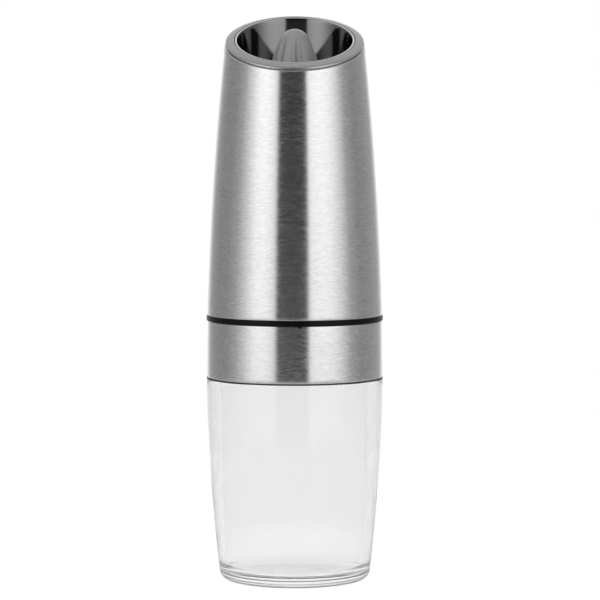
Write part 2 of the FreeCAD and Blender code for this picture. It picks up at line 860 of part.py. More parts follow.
def lower_contacts():
    z_low = tray_floor_top_z
    pieces = [contact_link(cell_angles[0], cell_angles[1], z_low),
              contact_link(cell_angles[4], cell_angles[5], z_low)]
    for angle in bottom_tab_angles():
        tab = contact_tab(angle, 0, board_under_z + board_thickness, z_low + contact_thickness)
        pieces.append(contact_pad(angle, z_low).fuse(tab))
    return group(pieces)


def upper_contacts():
    z_low = deck_under_z - contact_thickness
    near, far = lead_places()
    single = contact_tag(cell_angles[0], near, z_low)
    other = contact_tag(cell_angles[5], far, z_low)
    return group([single, contact_link(cell_angles[1], cell_angles[2], z_low),
                  contact_link(cell_angles[3], cell_angles[4], z_low), other])


def power_leads():
    near, far = lead_places()
    top = deck_under_z - contact_thickness
    low = board_under_z - 4.6
    side = 6.0
    board_x = board_in_r + 2.0
    board_top = board_under_z + board_thickness
    leads = [lead([V(near.x, near.y, top), V(near.x, near.y, board_top)], lead_wire_r, lead_bend_r)]
    leads.append(lead([V(far.x, far.y, top), V(far.x, far.y, low), V(-9, -side, low - 1.6),
                       V(board_x, -side, low - 1.6), V(board_x, -side, board_under_z)],
                      lead_wire_r, lead_bend_r))
    tab = at(cell_circle_r - contact_r, cell_angles[3])
    tab_end = board_under_z + board_thickness
    leads.append(lead([V(tab.x, tab.y, tab_end), V(tab.x, tab.y, low), V(-8, side, low),
                       V(board_x, side, low), V(board_x, side, board_under_z)],
                      lead_wire_r, lead_bend_r))
    return group(leads)


def motor_can():
    top = motor_top_z
    low = motor_foot_z
    can = disc(motor_r, low, top).cut(disc(motor_r - motor_can_wall, low - 1, top - motor_can_wall))
    can = can.makeFillet(1.2, [max(can.Edges, key=lambda e: e.BoundBox.ZMax * 100 + e.Length)])
    boss = disc(motor_boss_r, top - 0.5, top + motor_boss_height)
    can = can.fuse(boss).cut(disc(bearing_r, top - 2, top + 3))
    for angle in motor_screw_angles:
        can = can.cut(disc(motor_screw_r, top - 2, top + 1, at(motor_screw_circle_r, angle)))
    return can


def motor_end_bell():
    bell = disc(motor_r, motor_foot_z - motor_bell, motor_foot_z)
    bell = bell.makeFillet(0.6, [min(bell.Edges, key=lambda e: e.BoundBox.ZMax * 100 - e.Length)])
    spigot = tube(motor_r - motor_can_wall - 0.05, motor_r - motor_can_wall - 1.2, motor_foot_z - 0.5,
                  motor_foot_z + 1.5)
    boss = disc(motor_boss_r + 0.8, motor_foot_z - motor_bell - 1.2, motor_foot_z - motor_bell + 0.5)
    bell = bell.fuse(spigot).fuse(boss)
    bell = bell.cut(disc(bearing_r, motor_foot_z - motor_bell - 0.2, motor_foot_z + 2))
    for angle in (0, 180):
        slot = Part.makeBox(terminal_thickness + 0.1, terminal_width + 0.1, 8,
                            V(terminal_at - 0.05, -terminal_width / 2.0 - 0.05, motor_foot_z - 5))
        bell = bell.cut(turned(slot, angle))
    return bell


def motor_bearings():
    rear_low = motor_foot_z - motor_bell - 0.2
    rear = tube(bearing_r, motor_shaft_r + running_gap, rear_low, rear_low + bearing_length)
    front_top = motor_top_z + motor_boss_height
    front = tube(bearing_r, motor_shaft_r + running_gap, front_top - bearing_length, front_top)
    return group([rear, front])


def armature_low_z():
    return motor_foot_z + armature_lift


def armature_r():
    return motor_r - motor_can_wall - magnet_thickness - air_gap


def motor_magnets():
    outer = motor_r - motor_can_wall
    low = armature_low_z() - 1.0
    high = low + armature_length + 2.0
    return group([sector(outer, outer - magnet_thickness, low, high, middle, 68) for middle in (0, 180)])


def motor_armature():
    low = armature_low_z()
    high = low + armature_length
    hub = disc(motor_shaft_r + 1.6, low, high)
    poles = []
    for angle in planet_angles:
        shoe = sector(armature_r(), armature_r() - pole_shoe, low, high, angle, pole_half_angle)
        web = Part.makeBox(armature_r() - 0.5, 2 * pole_web, armature_length, V(0, -pole_web, low))
        poles.append(shoe.fuse(turned(web, angle)))
    return merged([hub] + poles).cut(disc(motor_shaft_r, low - 1, high + 1))


def motor_windings():
    """Three copper coils, each wound round one pole of the armature."""
    low = armature_low_z() - winding_length_over
    high = armature_low_z() + armature_length + winding_length_over
    outer = armature_r() - pole_shoe - 0.15
    inner = motor_shaft_r + 3.0
    coils = []
    for angle in planet_angles:
        block = sector(outer, inner, low, high, 0, 52)
        core = Part.makeBox(outer + 1, 2 * pole_web + 0.1, armature_length + 0.1,
                            V(0, -pole_web - 0.05, armature_low_z() - 0.05))
        coils.append(turned(block.cut(core), angle))
    return group(coils)


def motor_shaft():
    low = motor_foot_z - motor_bell
    return disc(motor_shaft_r, low + 0.2, sun_1_top_z())


def sun_1_top_z():
    return planet_1_z + stage_1_face


def motor_commutator():
    low = armature_low_z() - winding_length_over - commutator_length - 0.4
    body = tube(commutator_r, motor_shaft_r, low, low + commutator_length)
    for angle in planet_angles:
        slit = Part.makeBox(commutator_r, 0.25, commutator_length + 2, V(commutator_r - 0.6, -0.125, low - 1))
        body = body.cut(turned(slit, angle + 60))
    return body


def motor_terminals():
    """Two brass tabs through the end bell, each with its brush arm beside the commutator."""
    low = motor_foot_z - motor_bell - terminal_drop
    commutator_mid = armature_low_z() - winding_length_over - 0.4 - commutator_length / 2.0
    high = commutator_mid + 0.8
    tab = Part.makeBox(terminal_thickness, terminal_width, high - low,
                       V(terminal_at, -terminal_width / 2.0, low))
    arm_length = terminal_at - commutator_r - 0.1
    arm = Part.makeBox(arm_length, 1.4, 1.2, V(commutator_r + 0.1, -0.7, commutator_mid - 0.6))
    return group(around(tab.fuse(arm), (0, 180)))


def motor_damper():
    z_low = tray_under_z + 0.2
    return tube(tube_bore_r - 0.05, motor_r + 0.05, z_low, z_low + damper_height)


def motor_leads():
    """Two wires from the motor's tabs to the underside of the control board."""
    low = motor_foot_z - motor_bell - terminal_drop
    run_z = low - 1.6
    leads = []
    beside = terminal_width / 2.0 + lead_wire_r
    end_x = board_in_r + 2.0
    for side, start_x in ((1, terminal_at), (-1, -terminal_at)):
        start = V(start_x + terminal_thickness / 2.0, side * beside, low + 1.4)
        below = V(start.x, start.y, run_z)
        across = V(end_x, start.y, run_z)
        leads.append(lead([start, below, across, V(end_x, start.y, board_under_z)], lead_wire_r, lead_bend_r))
    return group(leads)


def involute_roll(radius, base_r):
    roll = math.acos(min(1.0, base_r / radius))
    return math.tan(roll) - roll


def gear_outline(teeth, root_r, tip_r, thickness):
    """A closed involute outline with one tooth centred on +X; flanks are arcs through the curve."""
    pitch_r = module * teeth / 2.0
    base_r = pitch_r * math.cos(math.radians(pressure_angle))
    start_r = max(root_r, base_r)
    half_at_pitch = thickness / (2.0 * pitch_r)

    def half_width(radius):
        return half_at_pitch + involute_roll(pitch_r, base_r) - involute_roll(radius, base_r)

    def point(radius, turn):
        return V(radius * math.cos(turn), radius * math.sin(turn), 0)

    mid_r = (start_r + tip_r) / 2.0
    step = 2 * math.pi / teeth
    edges = []
    for k in range(teeth):
        centre = k * step
        foot = half_width(start_r)
        rise = [point(radius, centre - half_width(radius)) for radius in (start_r, mid_r, tip_r)]
        fall = [point(radius, centre + half_width(radius)) for radius in (tip_r, mid_r, start_r)]
        if start_r - root_r > 1e-4:
            edges.append(Part.makeLine(point(root_r, centre - foot), rise[0]))
        edges.append(Part.Arc(*rise).toShape())
        edges.append(Part.Arc(rise[2], point(tip_r, centre), fall[0]).toShape())
        edges.append(Part.Arc(*fall).toShape())
        if start_r - root_r > 1e-4:
            edges.append(Part.makeLine(fall[2], point(root_r, centre + foot)))
        edges.append(Part.Arc(point(root_r, centre + foot), point(root_r, centre + step / 2.0),
                              point(root_r, centre + step - foot)).toShape())
    return Part.Face(Part.Wire(edges))


def external_gear(teeth, face_width):
    pitch_r = module * teeth / 2.0
    thickness = math.pi * module / 2.0 - backlash / 2.0
    outline = gear_outline(teeth, pitch_r - 1.25 * module, pitch_r + module, thickness)
    return outline.extrude(V(0, 0, face_width))


def ring_space(face_width):
    """The toothed hole of the ring gear, one space centred on +X."""
    pitch_r = module * ring_teeth / 2.0
    width = math.pi * module / 2.0 + backlash / 2.0
    outline = gear_outline(ring_teeth, pitch_r - module, pitch_r + 1.25 * module, width)
    return outline.extrude(V(0, 0, face_width))


def sun_gear_1():
    gear = moved(external_gear(sun_teeth, stage_1_face), V(0, 0, planet_1_z))
    return gear.cut(disc(motor_shaft_r, planet_1_z - 1, sun_1_top_z() + 1))


def sun_gear_2():
    height = planet_2_z + stage_2_face - carrier_1_top_z
    return moved(external_gear(sun_teeth, height), V(0, 0, carrier_1_top_z))


def planet(stage_z, face_width, angle):
    """A planet with a space towards the sun, on its pin's circle."""
    gear = external_gear(planet_teeth, face_width)
    gear = gear.cut(disc(planet_pin_r + running_gap, -1, face_width + 1))
    gear.translate(V(centre_distance, 0, stage_z))
    return turned(gear, angle)


def carrier_pins(z_low, z_high):
    return group([disc(planet_pin_r, z_low, z_high, at(centre_distance, angle)) for angle in planet_angles])


def carrier_plate(z_low, z_high):
    plate = disc(centre_distance + 2.4, z_low, z_high)
    for angle in planet_angles:
        plate = plate.cut(disc(planet_pin_r, z_low - 1, z_high + 1, at(centre_distance, angle)))
    return plate


def carrier_1():
    return carrier_plate(carrier_1_z, carrier_1_top_z)


def carrier_2():
    plate = carrier_plate(carrier_2_z, carrier_2_top_z)
    return plate.cut(disc(shaft_journal_r, carrier_2_z - 1, carrier_2_top_z + 1))


def gearbox_plate():
    plate = tube(ring_gear_r, motor_boss_r + 0.1, motor_top_z, plate_top_z)
    for angle in motor_screw_angles:
        place = at(motor_screw_circle_r, angle)
        plate = plate.cut(disc(motor_screw_r + screw_play, motor_top_z - 1, plate_top_z + 1, place))
        plate = plate.cut(moved(flat_head(motor_screw_r, plate_top_z, 1, screw_play), place))
    for place in gearbox_screw_places():
        plate = plate.cut(disc(gearbox_screw_r, motor_top_z - 1, plate_top_z + 1, place))
    return plate


def gearbox_screw_places():
    return [at(gearbox_screw_circle_r, angle + 60.0) for angle in planet_angles]


def ring_gear():
    height = cover_z - plate_top_z
    body = disc(ring_gear_r, plate_top_z, cover_z)
    body = body.cut(moved(ring_space(height + 2), V(0, 0, plate_top_z - 1)))
    for place in gearbox_screw_places():
        body = body.cut(disc(gearbox_screw_r, plate_top_z - 1, cover_z + 1, place))
    return body


def gearbox_cover():
    body = disc(ring_gear_r, cover_z, deck_top_z)
    flange = disc(cover_flange_r, deck_top_z, deck_top_z + cover_flange)
    body = body.fuse(flange).removeSplitter()
    body = body.cut(disc(shaft_journal_r + bush_wall, cover_z - 1, deck_top_z + cover_flange + 1))
    for place in gearbox_screw_places():
        body = body.cut(disc(gearbox_screw_r + screw_play, cover_z - 1, deck_top_z + cover_flange + 1, place))
    return body


def output_bush():
    outer = shaft_journal_r + bush_wall
    bore = shaft_journal_r + running_gap
    barrel = tube(outer, bore, bush_z, bush_top_z)
    flange = tube(outer + 1.2, bore, bush_z, cover_z)
    return barrel.fuse(flange)


def carrier_1_pins():
    return carrier_pins(planet_1_z, carrier_1_top_z)


def carrier_2_pins():
    return carrier_pins(planet_2_z, carrier_2_top_z)


def hexagon(flats, z_low, z_high):
    corner_r = flats / math.sqrt(3.0)
    corners = [at(corner_r, 60.0 * k, z_low) for k in range(7)]
    return Part.Face(Part.makePolygon(corners)).extrude(V(0, 0, z_high - z_low))


def drive_shaft():
    journal = disc(shaft_journal_r, carrier_2_z, collar_z + 0.1)
    collar = disc(collar_r, collar_z, collar_top_z)
    hex_part = hexagon(hex_flats, collar_top_z - 0.1, burr_top_z - hex_drop)
    tip = disc(shaft_tip_r, burr_top_z - 1.0, shaft_tip_z)
    return merged([journal, collar, hex_part, tip])


def burr_spring():
    return coil(burr_spring_coil_r, burr_spring_wire_r, collar_top_z + 0.02, burr_spring_top_z - 0.02,
                burr_spring_turns)


def tooth_cutter(z_low, z_high, r_low, r_high, half_width, skew, outwards):
    """A V-shaped cutter with a skewed sharp edge that widens outwards or towards the axis."""
    sections = []
    for radius, z, angle in ((r_low, z_low, 0.0), (r_high, z_high, skew)):
        point = at(radius, angle, z)
        out = at(cutter_reach if outwards else -cutter_reach, angle)
        side = at(half_width, angle + 90.0)
        edge = [point, point + out + side, point + out - side]
        sections.append(Part.makePolygon(edge + edge[:1]))
    return Part.makeLoft(sections, True, True)


def rotor_burr():
    cone = spun((0, burr_foot_z), (rotor_foot_r, burr_foot_z), (rotor_finish_foot_r, finish_foot_z),
                (rotor_top_r, burr_top_z), (0, burr_top_z))
    slope = (rotor_finish_foot_r - rotor_foot_r) / (finish_foot_z - burr_foot_z)
    coarse = tooth_cutter(burr_foot_z - 1, finish_foot_z, rotor_foot_r - slope - tooth_cut,
                          rotor_finish_foot_r - fine_tooth_cut, rotor_tooth_half, rotor_skew, True)
    fine = tooth_cutter(finish_foot_z - 0.5, burr_top_z + 0.5, rotor_finish_foot_r - fine_tooth_cut - 0.2,
                        rotor_top_r - fine_tooth_cut + 0.2, fine_tooth_half, fine_skew, True)
    cone = cone.cut(around(coarse, [360.0 * k / rotor_teeth for k in range(rotor_teeth)]))
    cone = cone.cut(around(fine, [360.0 * k / rotor_fine_teeth for k in range(rotor_fine_teeth)]))
    return cone.cut(disc(rotor_bore_r, burr_foot_z - 1, burr_top_z + 1))


def rotor_hub():
    barrel = disc(rotor_bore_r - 0.02, burr_foot_z - hub_flange, burr_top_z + 0.3)
    flange = disc(hub_flange_r, burr_foot_z - hub_flange, burr_foot_z)
    hole = hexagon(hex_flats + 2 * hex_play, burr_foot_z - hub_flange - 1, burr_top_z + 2)
    return barrel.fuse(flange).cut(hole)


def stator_burr():
    ring = spun((stator_r, stator_foot_z), (stator_r, burr_top_z), (stator_top_r, burr_top_z),
                (stator_finish_foot_r, finish_foot_z), (stator_foot_r, stator_foot_z))
    groove = tooth_cutter(stator_foot_z - 1, finish_foot_z, stator_foot_r + stator_tooth_cut,
                          stator_finish_foot_r + 0.2, stator_tooth_half, -rotor_skew, False)
    return ring.cut(around(groove, [360.0 * k / stator_teeth for k in range(stator_teeth)]))


def grinder_housing():
    low = deck_top_z
    shoulder_z = low + housing_side
    neck_bore = stator_r + shell_fit
    bore = housing_r - housing_wall
    ledge_r = stator_foot_r + 0.4
    body = spun((bore, low), (housing_r, low), (housing_r, shoulder_z),
                (housing_neck_r, stator_foot_z + housing_ledge), (housing_neck_r, burr_top_z),
                (neck_bore, burr_top_z), (neck_bore, stator_foot_z),
                (ledge_r, stator_foot_z), (ledge_r, stator_foot_z - housing_ledge),
                (bore, shoulder_z - housing_ledge))
    floor_half = 90.0 - chute_half_angle - 1.0
    floors = [sector(bore + 0.5, cover_flange_r + 0.2, low, low + housing_floor, middle, floor_half)
              for middle in (0, 180)]
    inside = spun((0, low), (housing_r - 0.2, low), (housing_r - 0.2, shoulder_z),
                  (housing_neck_r, stator_foot_z + housing_ledge - 0.2), (0, stator_foot_z))
    posts = [disc(screw_well_r, low, burr_foot_z, place).common(inside) for place in boss_places()]
    body = merged([body] + floors + posts)
    well_r = housing_screw_r * screw_head_ratio + screw_well_play
    for place in boss_places():
        body = body.cut(disc(housing_screw_r + screw_play, low - 1, low + housing_floor + 1, place))
        body = body.cut(disc(well_r, low + housing_floor, burr_top_z, place))
    return body


def stator_retainer():
    """The clip ring over the neck, on top of the fixed burr."""
    skirt_z = burr_top_z - retainer_skirt
    bore = housing_neck_r + shell_fit
    return spun((retainer_hole_r, burr_top_z), (bore, burr_top_z), (bore, skirt_z), (retainer_r, skirt_z),
                (retainer_r, retainer_top_z - 0.4), (retainer_r - 0.4, retainer_top_z),
                (retainer_hole_r + 0.6, retainer_top_z), (retainer_hole_r, retainer_top_z - 0.6))


def knob_flute():
    """A round cutter along the knob's side: full depth at waist and foot, fading out at the nose."""
    nose = V(knob_nose_r + flute_cutter_r - flute_fade, 0, knob_tip_z - knob_nose_drop)
    waist = V(knob_waist_r + flute_cutter_r - flute_depth, 0, knob_tip_z - knob_waist_drop)
    foot = V(knob_foot_r + flute_cutter_r - flute_depth, 0, knob_foot_z)
    line = Part.Arc(nose, waist, foot).toShape().Curve
    return Part.makeTorus(line.Radius, flute_cutter_r, line.Center, V(0, 1, 0))


def adjust_knob():
    nose_z = knob_tip_z - knob_nose_drop
    ball_nose_r = (knob_nose_r ** 2 + knob_nose_drop ** 2) / (2 * knob_nose_drop)
    nose_middle = corner_middle((0, knob_tip_z - ball_nose_r), ball_nose_r, 60.0)
    body = spun((0, knob_foot_z), (knob_foot_r - 0.4, knob_foot_z), (knob_foot_r, knob_foot_z + 0.5),
                ((knob_waist_r, knob_tip_z - knob_waist_drop), (knob_nose_r, nose_z)),
                (nose_middle, (0, knob_tip_z)))
    cutter = turned(knob_flute(), flute_angle)
    body = body.cut(around(cutter, [360.0 * k / flute_count for k in range(flute_count)]))
    body = body.cut(disc(insert_r, knob_foot_z - 1, knob_foot_z + insert_length))
    body = body.cut(disc(shaft_tip_r + 0.5, knob_foot_z, shaft_tip_z + knob_travel_room))
    return body.cut(disc(insert_flange_r, knob_foot_z - 1, knob_foot_z + insert_flange))


def knob_insert():
    barrel = disc(insert_r, knob_foot_z, knob_foot_z + insert_length)
    flange = disc(insert_flange_r, burr_top_z + 0.4, knob_foot_z + insert_flange)
    hole = disc(shaft_tip_r + 0.05, burr_top_z, knob_foot_z + insert_length + 1)
    return barrel.fuse(flange).cut(hole)


def frame_screws():
    return group([flat_screw(frame_screw_r, ceiling_under_z, frame_screw_length, place, -1)
                  for place in boss_places()])


def housing_screws():
    head_z = deck_top_z + housing_floor
    return group([pan_screw(housing_screw_r, head_z, housing_screw_length, place)
                  for place in boss_places()])


def gearbox_screws():
    head_z = deck_top_z + cover_flange
    return group([pan_screw(gearbox_screw_r, head_z, gearbox_screw_length, place)
                  for place in gearbox_screw_places()])


def motor_screws():
    places = [at(motor_screw_circle_r, angle) for angle in motor_screw_angles]
    return group([flat_screw(motor_screw_r, plate_top_z, motor_screw_length, place) for place in places])


def control_board():
    top = board_under_z + board_thickness
    return sector(board_out_r, board_in_r, board_under_z, top, 0, board_half_angle)


def board_components():
    top = board_under_z + board_thickness
    low = board_under_z
    capacitor = disc(capacitor_r, low - capacitor_height, low, at(switch_circle_r, capacitor_angle))
    relay_corner = V(board_in_r + relay_inset, relay_end_y - relay_length, low - relay_height)
    relay = Part.makeBox(relay_width, relay_length, relay_height, relay_corner)
    chip = Part.makeBox(chip_width, chip_length, chip_height, V(board_in_r + chip_inset, chip_start_y, top))
    return group([capacitor, relay, chip])


def switch_centre():
    return at(switch_circle_r, 0)


def tilt_switch_can():
    top = board_under_z
    low = top - switch_length
    can = disc(switch_r, low, top, switch_centre())
    return can.cut(disc(switch_r - switch_wall, low + switch_wall, top - switch_wall, switch_centre()))


def tilt_ball():
    low = board_under_z - switch_length + switch_wall
    centre = switch_centre()
    return Part.makeSphere(ball_r, V(centre.x, centre.y, low + ball_seat + ball_r))


def planets():
    shapes = {}
    for letter, angle in zip(stage_letters, planet_angles):
        shapes["planet_1" + letter] = planet(planet_1_z, stage_1_face, angle)
        shapes["planet_2" + letter] = planet(planet_2_z, stage_2_face, angle)
    return shapes


def single_nodes():
    makers = [spice_cup, cup_gasket, cup_socket, lower_band, seam_ring, upper_sleeve, rim_ring, outlet_liner,
              core_frame, sleeve_oring, battery_cells, battery_springs, lower_contacts, upper_contacts,
              power_leads, motor_can, motor_end_bell, motor_bearings, motor_magnets, motor_armature,
              motor_windings, motor_shaft, motor_commutator, motor_terminals, motor_damper, motor_leads,
              sun_gear_1, sun_gear_2, carrier_1, carrier_1_pins, carrier_2, carrier_2_pins, gearbox_plate,
              ring_gear, gearbox_cover, output_bush, drive_shaft, burr_spring, rotor_burr, rotor_hub,
              stator_burr, grinder_housing, stator_retainer, adjust_knob, knob_insert, frame_screws,
              housing_screws, gearbox_screws, motor_screws, control_board, board_components,
              tilt_switch_can, tilt_ball]
    return {maker.__name__: maker() for maker in makers}


def main():
    os.makedirs("parts", exist_ok=True)
    shapes = single_nodes()
    shapes.update(planets())
    for name, shape in sorted(shapes.items()):
        shape.exportStep("parts/" + name + ".step")
        valid = "valid" if shape.isValid() else "NOT VALID"
        print(name, len(shape.Solids), round(shape.Volume, 2), valid)


main()
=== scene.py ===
import json
import math

import bmesh
import bpy
from mathutils import Matrix, Vector


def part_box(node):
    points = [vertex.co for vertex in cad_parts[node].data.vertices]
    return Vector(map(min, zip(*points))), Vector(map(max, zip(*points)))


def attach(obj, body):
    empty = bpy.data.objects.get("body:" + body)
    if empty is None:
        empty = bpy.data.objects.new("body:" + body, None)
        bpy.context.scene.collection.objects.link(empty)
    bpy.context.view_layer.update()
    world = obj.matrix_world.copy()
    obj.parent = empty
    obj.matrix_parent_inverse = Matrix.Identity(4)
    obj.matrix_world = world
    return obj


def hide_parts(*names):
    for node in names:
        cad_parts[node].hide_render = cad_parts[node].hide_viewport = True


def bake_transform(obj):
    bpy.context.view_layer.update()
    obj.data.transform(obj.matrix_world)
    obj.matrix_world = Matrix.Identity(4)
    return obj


bl_info = {
    "name": "Electric Pepper Mill",
    "version": (1, 0, 0),
    "blender": (4, 5, 0),
    "location": "3D View > Sidebar > Pepper Mill",
    "description": "Finished surfaces, studio and camera for an electric pepper mill",
    "category": "Object",
}

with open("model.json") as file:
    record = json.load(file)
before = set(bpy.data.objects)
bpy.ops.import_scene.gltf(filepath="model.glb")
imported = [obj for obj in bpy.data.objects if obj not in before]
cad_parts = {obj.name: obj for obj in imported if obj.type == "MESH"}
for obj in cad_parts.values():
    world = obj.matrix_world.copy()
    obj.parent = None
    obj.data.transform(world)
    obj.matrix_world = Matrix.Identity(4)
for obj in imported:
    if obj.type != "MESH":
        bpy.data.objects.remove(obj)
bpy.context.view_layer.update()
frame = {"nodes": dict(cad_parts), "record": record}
slot_of = {part["node"]: part["material_slot"] for part in frame["record"]["subparts"]}

# Units, and how finely shapes are cut and compared

MM = 0.001
STEPS_ROUND = 240
SHARP_EDGE = math.radians(32)
SAME_PLACE = 2e-6
MERGED = 1e-7
NEARLY = 1e-3
SLANT_ROUNDS = 6

# Details of the shapes that stay as they are

SHOULDER_EDGE = 0.3 * MM
NECK_LIP = 0.4 * MM
THREAD_TURNS = 1.75
THREAD_SUNK = 0.02 * MM
SEAL_PLAY = 0.4 * MM
SEAL_ROUND = 0.12 * MM
NIB_DEPTH = 0.6 * MM
NIB_PLAY = 0.1 * MM
RING_WIDTH = 1.55 * MM
RING_ROUND = 0.3 * MM
LINER_ROUNDING = 0.35
FLUTES = 6
FLUTE_STEPS = 24
KNOB_FOOT_EDGE = 0.5 * MM
KNOB_FOOT_BAND = 1 * MM
LINE_DEPTH = 0.04 * MM
GRAIN_DEPTH = 0.05 * MM

# The room, its lamps and the camera, in metres and millimetres of sensor

BRIGHTEST = 2.0
TABLE = 0.25
OVERHEAD_PLACE = (-0.15, -0.25, 1.4)
OVERHEAD_WIDTH = 1.2
MOUTH_LAMP_PLACE = (-0.14, -0.4, 0.62)
MOUTH_LAMP_AIM = (0.0, 0.0, 0.197)
MOUTH_LAMP_CONE = math.radians(9)
MOUTH_LAMP_RADIUS = 0.03
SENSOR_WIDTH = 36.0
VIEW_DEPTH = 20.0


# Settings that a user would change

def length(name, description, millimetres):
    return bpy.props.FloatProperty(name=name, description=description, default=millimetres * MM,
                                   precision=5, unit="LENGTH", subtype="DISTANCE")


def tilt(name, description, degrees):
    return bpy.props.FloatProperty(name=name, description=description, default=math.radians(degrees),
                                   unit="ROTATION", subtype="ANGLE")


def share(name, description, value):
    return bpy.props.FloatProperty(name=name, description=description, default=value,
                                   min=0.0, max=1.0, subtype="FACTOR")


def level(name, description, value):
    return bpy.props.FloatProperty(name=name, description=description, default=value, min=0.0)


def colour(name, description, red, green, blue):
    return bpy.props.FloatVectorProperty(name=name, description=description, subtype="COLOR", size=4,
                                         min=0.0, max=1.0, default=(red, green, blue, 1.0))


class SleeveSizes(bpy.types.PropertyGroup):
    """The tall metal sleeve and the band under it."""
    foot_radius: length("Foot radius", "Outer radius at the sleeve's foot", 31.5)
    waist_radius: length("Waist radius", "Outer radius at the waist height", 29.36)
    waist_height: length("Waist height", "Height of the point that sets the taper", 142.0)
    crown_radius: length("Crown radius", "Outer radius at the crown height", 23.66)
    crown_height: length("Crown height", "Height where the sleeve's line ends", 206.0)
    wall: length("Wall", "Thickness of the sleeve's sheet", 0.8)
    cut_height: length("Cut height", "Height of the slanted top edge at the axis", 192.9)
    cut_tilt: tilt("Cut tilt", "Slope of the top edge", 20.1)
    lip_round: length("Lip round", "Radius of the rolled top edge", 0.55)
    edge_round: length("Edge round", "Radius of the other edges", 0.18)
    band_waist: length("Band waist radius", "Outer radius half way up the band", 31.53)
    band_top: length("Band top radius", "Outer radius at the band's top", 31.36)
    band_wall: length("Band wall", "Thickness of the band at its top", 0.7)
    notch_width: length("Notch width", "Width of the notch for the index nib", 1.1)
    notch_depth: length("Notch depth", "Depth of the notch for the index nib", 0.7)
    notch_place: tilt("Notch place", "Direction of the notch from the +X axis", -86.5)


class RimSizes(bpy.types.PropertyGroup):
    """The slanted rim and the mirror liner in the mouth."""
    mouth_height: length("Mouth height", "Height of the mouth's plane at the axis", 194.05)
    mouth_tilt: tilt("Mouth tilt", "Slope of the mouth", 21.6)
    crest: length("Crest", "How far the rim stands over the mouth's plane", 0.6)
    crown_fall: length("Crown fall", "How far the rim's face falls towards its outer edge", 0.36)
    outer_round: length("Outer round", "Radius of the rim's outer edge", 0.5)
    inner_round: length("Inner round", "Radius of the rim's inner edge", 0.4)
    inset: length("Inset", "How far the rim stays inside the sleeve's line", 0.2)
    seam: length("Seam", "Gap between the sleeve's edge and the rim", 0.45)
    skirt: length("Skirt", "Depth of the rim's skirt in the sleeve", 5.0)
    skirt_gap: length("Skirt gap", "Clearance between skirt and sleeve", 0.05)
    liner_foot_radius: length("Liner foot radius", "Inner radius of the liner at its foot", 20.5)
    liner_top_radius: length("Liner top radius", "Inner radius of the liner at the crown height", 20.9)
    liner_top_height: length("Liner top height", "Height where the liner has its top radius", 208.0)
    liner_wall: length("Liner wall", "Thickness of the liner", 0.8)
    liner_lip: length("Liner lip", "How far the liner stands over the mouth's plane", 0.45)


class CupSizes(bpy.types.PropertyGroup):
    """The clear spice cup and its seal."""
    foot_radius: length("Foot radius", "Radius of the flat foot", 23.75)
    corner: length("Corner", "Radius of the foot's corner", 3.5)
    waist_radius: length("Waist radius", "Outer radius at the waist height", 30.1)
    waist_height: length("Waist height", "Height of the point that sets the side's curve", 33.6)
    top_radius: length("Top radius", "Outer radius at the shoulder", 31.8)
    shoulder: length("Shoulder height", "Height of the shoulder under the band", 72.9)
    foot_wall: length("Foot wall", "Thickness of the side at the foot", 2.1)
    bulge: length("Cavity bulge", "How far the cavity's side stands out of a straight cone", 0.3)
    floor: length("Floor", "Height of the inner floor", 4.0)
    floor_step: length("Floor step", "Depth of the floor's sunk middle", 0.15)
    inner_corner: length("Inner corner", "Radius of the inner corner", 3.4)
    recess_radius: length("Recess radius", "Radius of the hollow under the foot", 21.5)
    recess_depth: length("Recess depth", "Depth of the hollow under the foot", 0.6)
    gate_radius: length("Gate mark radius", "Radius of the moulding mark under the floor", 1.1)
    gate_height: length("Gate mark height", "Height of the moulding mark", 0.35)
    neck_radius: length("Neck radius", "Outer radius of the threaded neck", 28.4)
    neck_wall: length("Neck wall", "Thickness of the neck", 1.8)
    neck_height: length("Neck height", "Height of the neck over the shoulder", 11.5)
    thread_start: length("Thread start", "Height of the thread's foot over the shoulder", 1.8)
    thread_lead: length("Thread lead", "Rise of the thread in one turn", 4.0)
    thread_depth: length("Thread depth", "How far the thread stands out of the neck", 0.9)
    thread_root: length("Thread root", "Width of the thread at the neck", 1.4)
    thread_crest: length("Thread crest", "Width of the thread at its crest", 0.7)


class KnobSizes(bpy.types.PropertyGroup):
    """The fluted adjusting knob in the mouth."""
    nose_radius: length("Nose radius", "Radius where the rounded nose begins", 4.85)
    nose_drop: length("Nose drop", "Depth of the rounded nose", 2.9)
    waist_radius: length("Waist radius", "Radius half way down the side", 8.2)
    waist_drop: length("Waist drop", "How far under the tip the waist is", 11.7)
    foot_radius: length("Foot radius", "Radius at the foot", 10.4)
    foot_chamfer: length("Foot chamfer", "Chamfer of the foot", 0.45)
    flute_radius: length("Flute radius", "Radius of the round flutes", 2.5)
    flute_depth: length("Flute depth", "Depth of the flutes at waist and foot", 1.15)
    flute_fade: length("Flute fade", "Depth of the flutes at the nose", 0.1)
    flute_place: tilt("Flute place", "Direction of the first flute from the +X axis", -75.0)
    crease_round: length("Crease round", "Width of the softened flute edges", 0.22)
    bore: length("Bore", "Radius of the bore for the insert", 4.0)
    bore_depth: length("Bore depth", "Depth of the bore for the insert", 13.0)
    tip_bore: length("Tip bore", "Radius of the bore round the shaft's tip", 2.9)
    tip_room: length("Tip room", "Height of the bore's end under the tip", 9.2)
    seat: length("Seat radius", "Radius of the insert's flange seat", 5.4)
    seat_depth: length("Seat depth", "Depth of the insert's flange seat", 1.0)


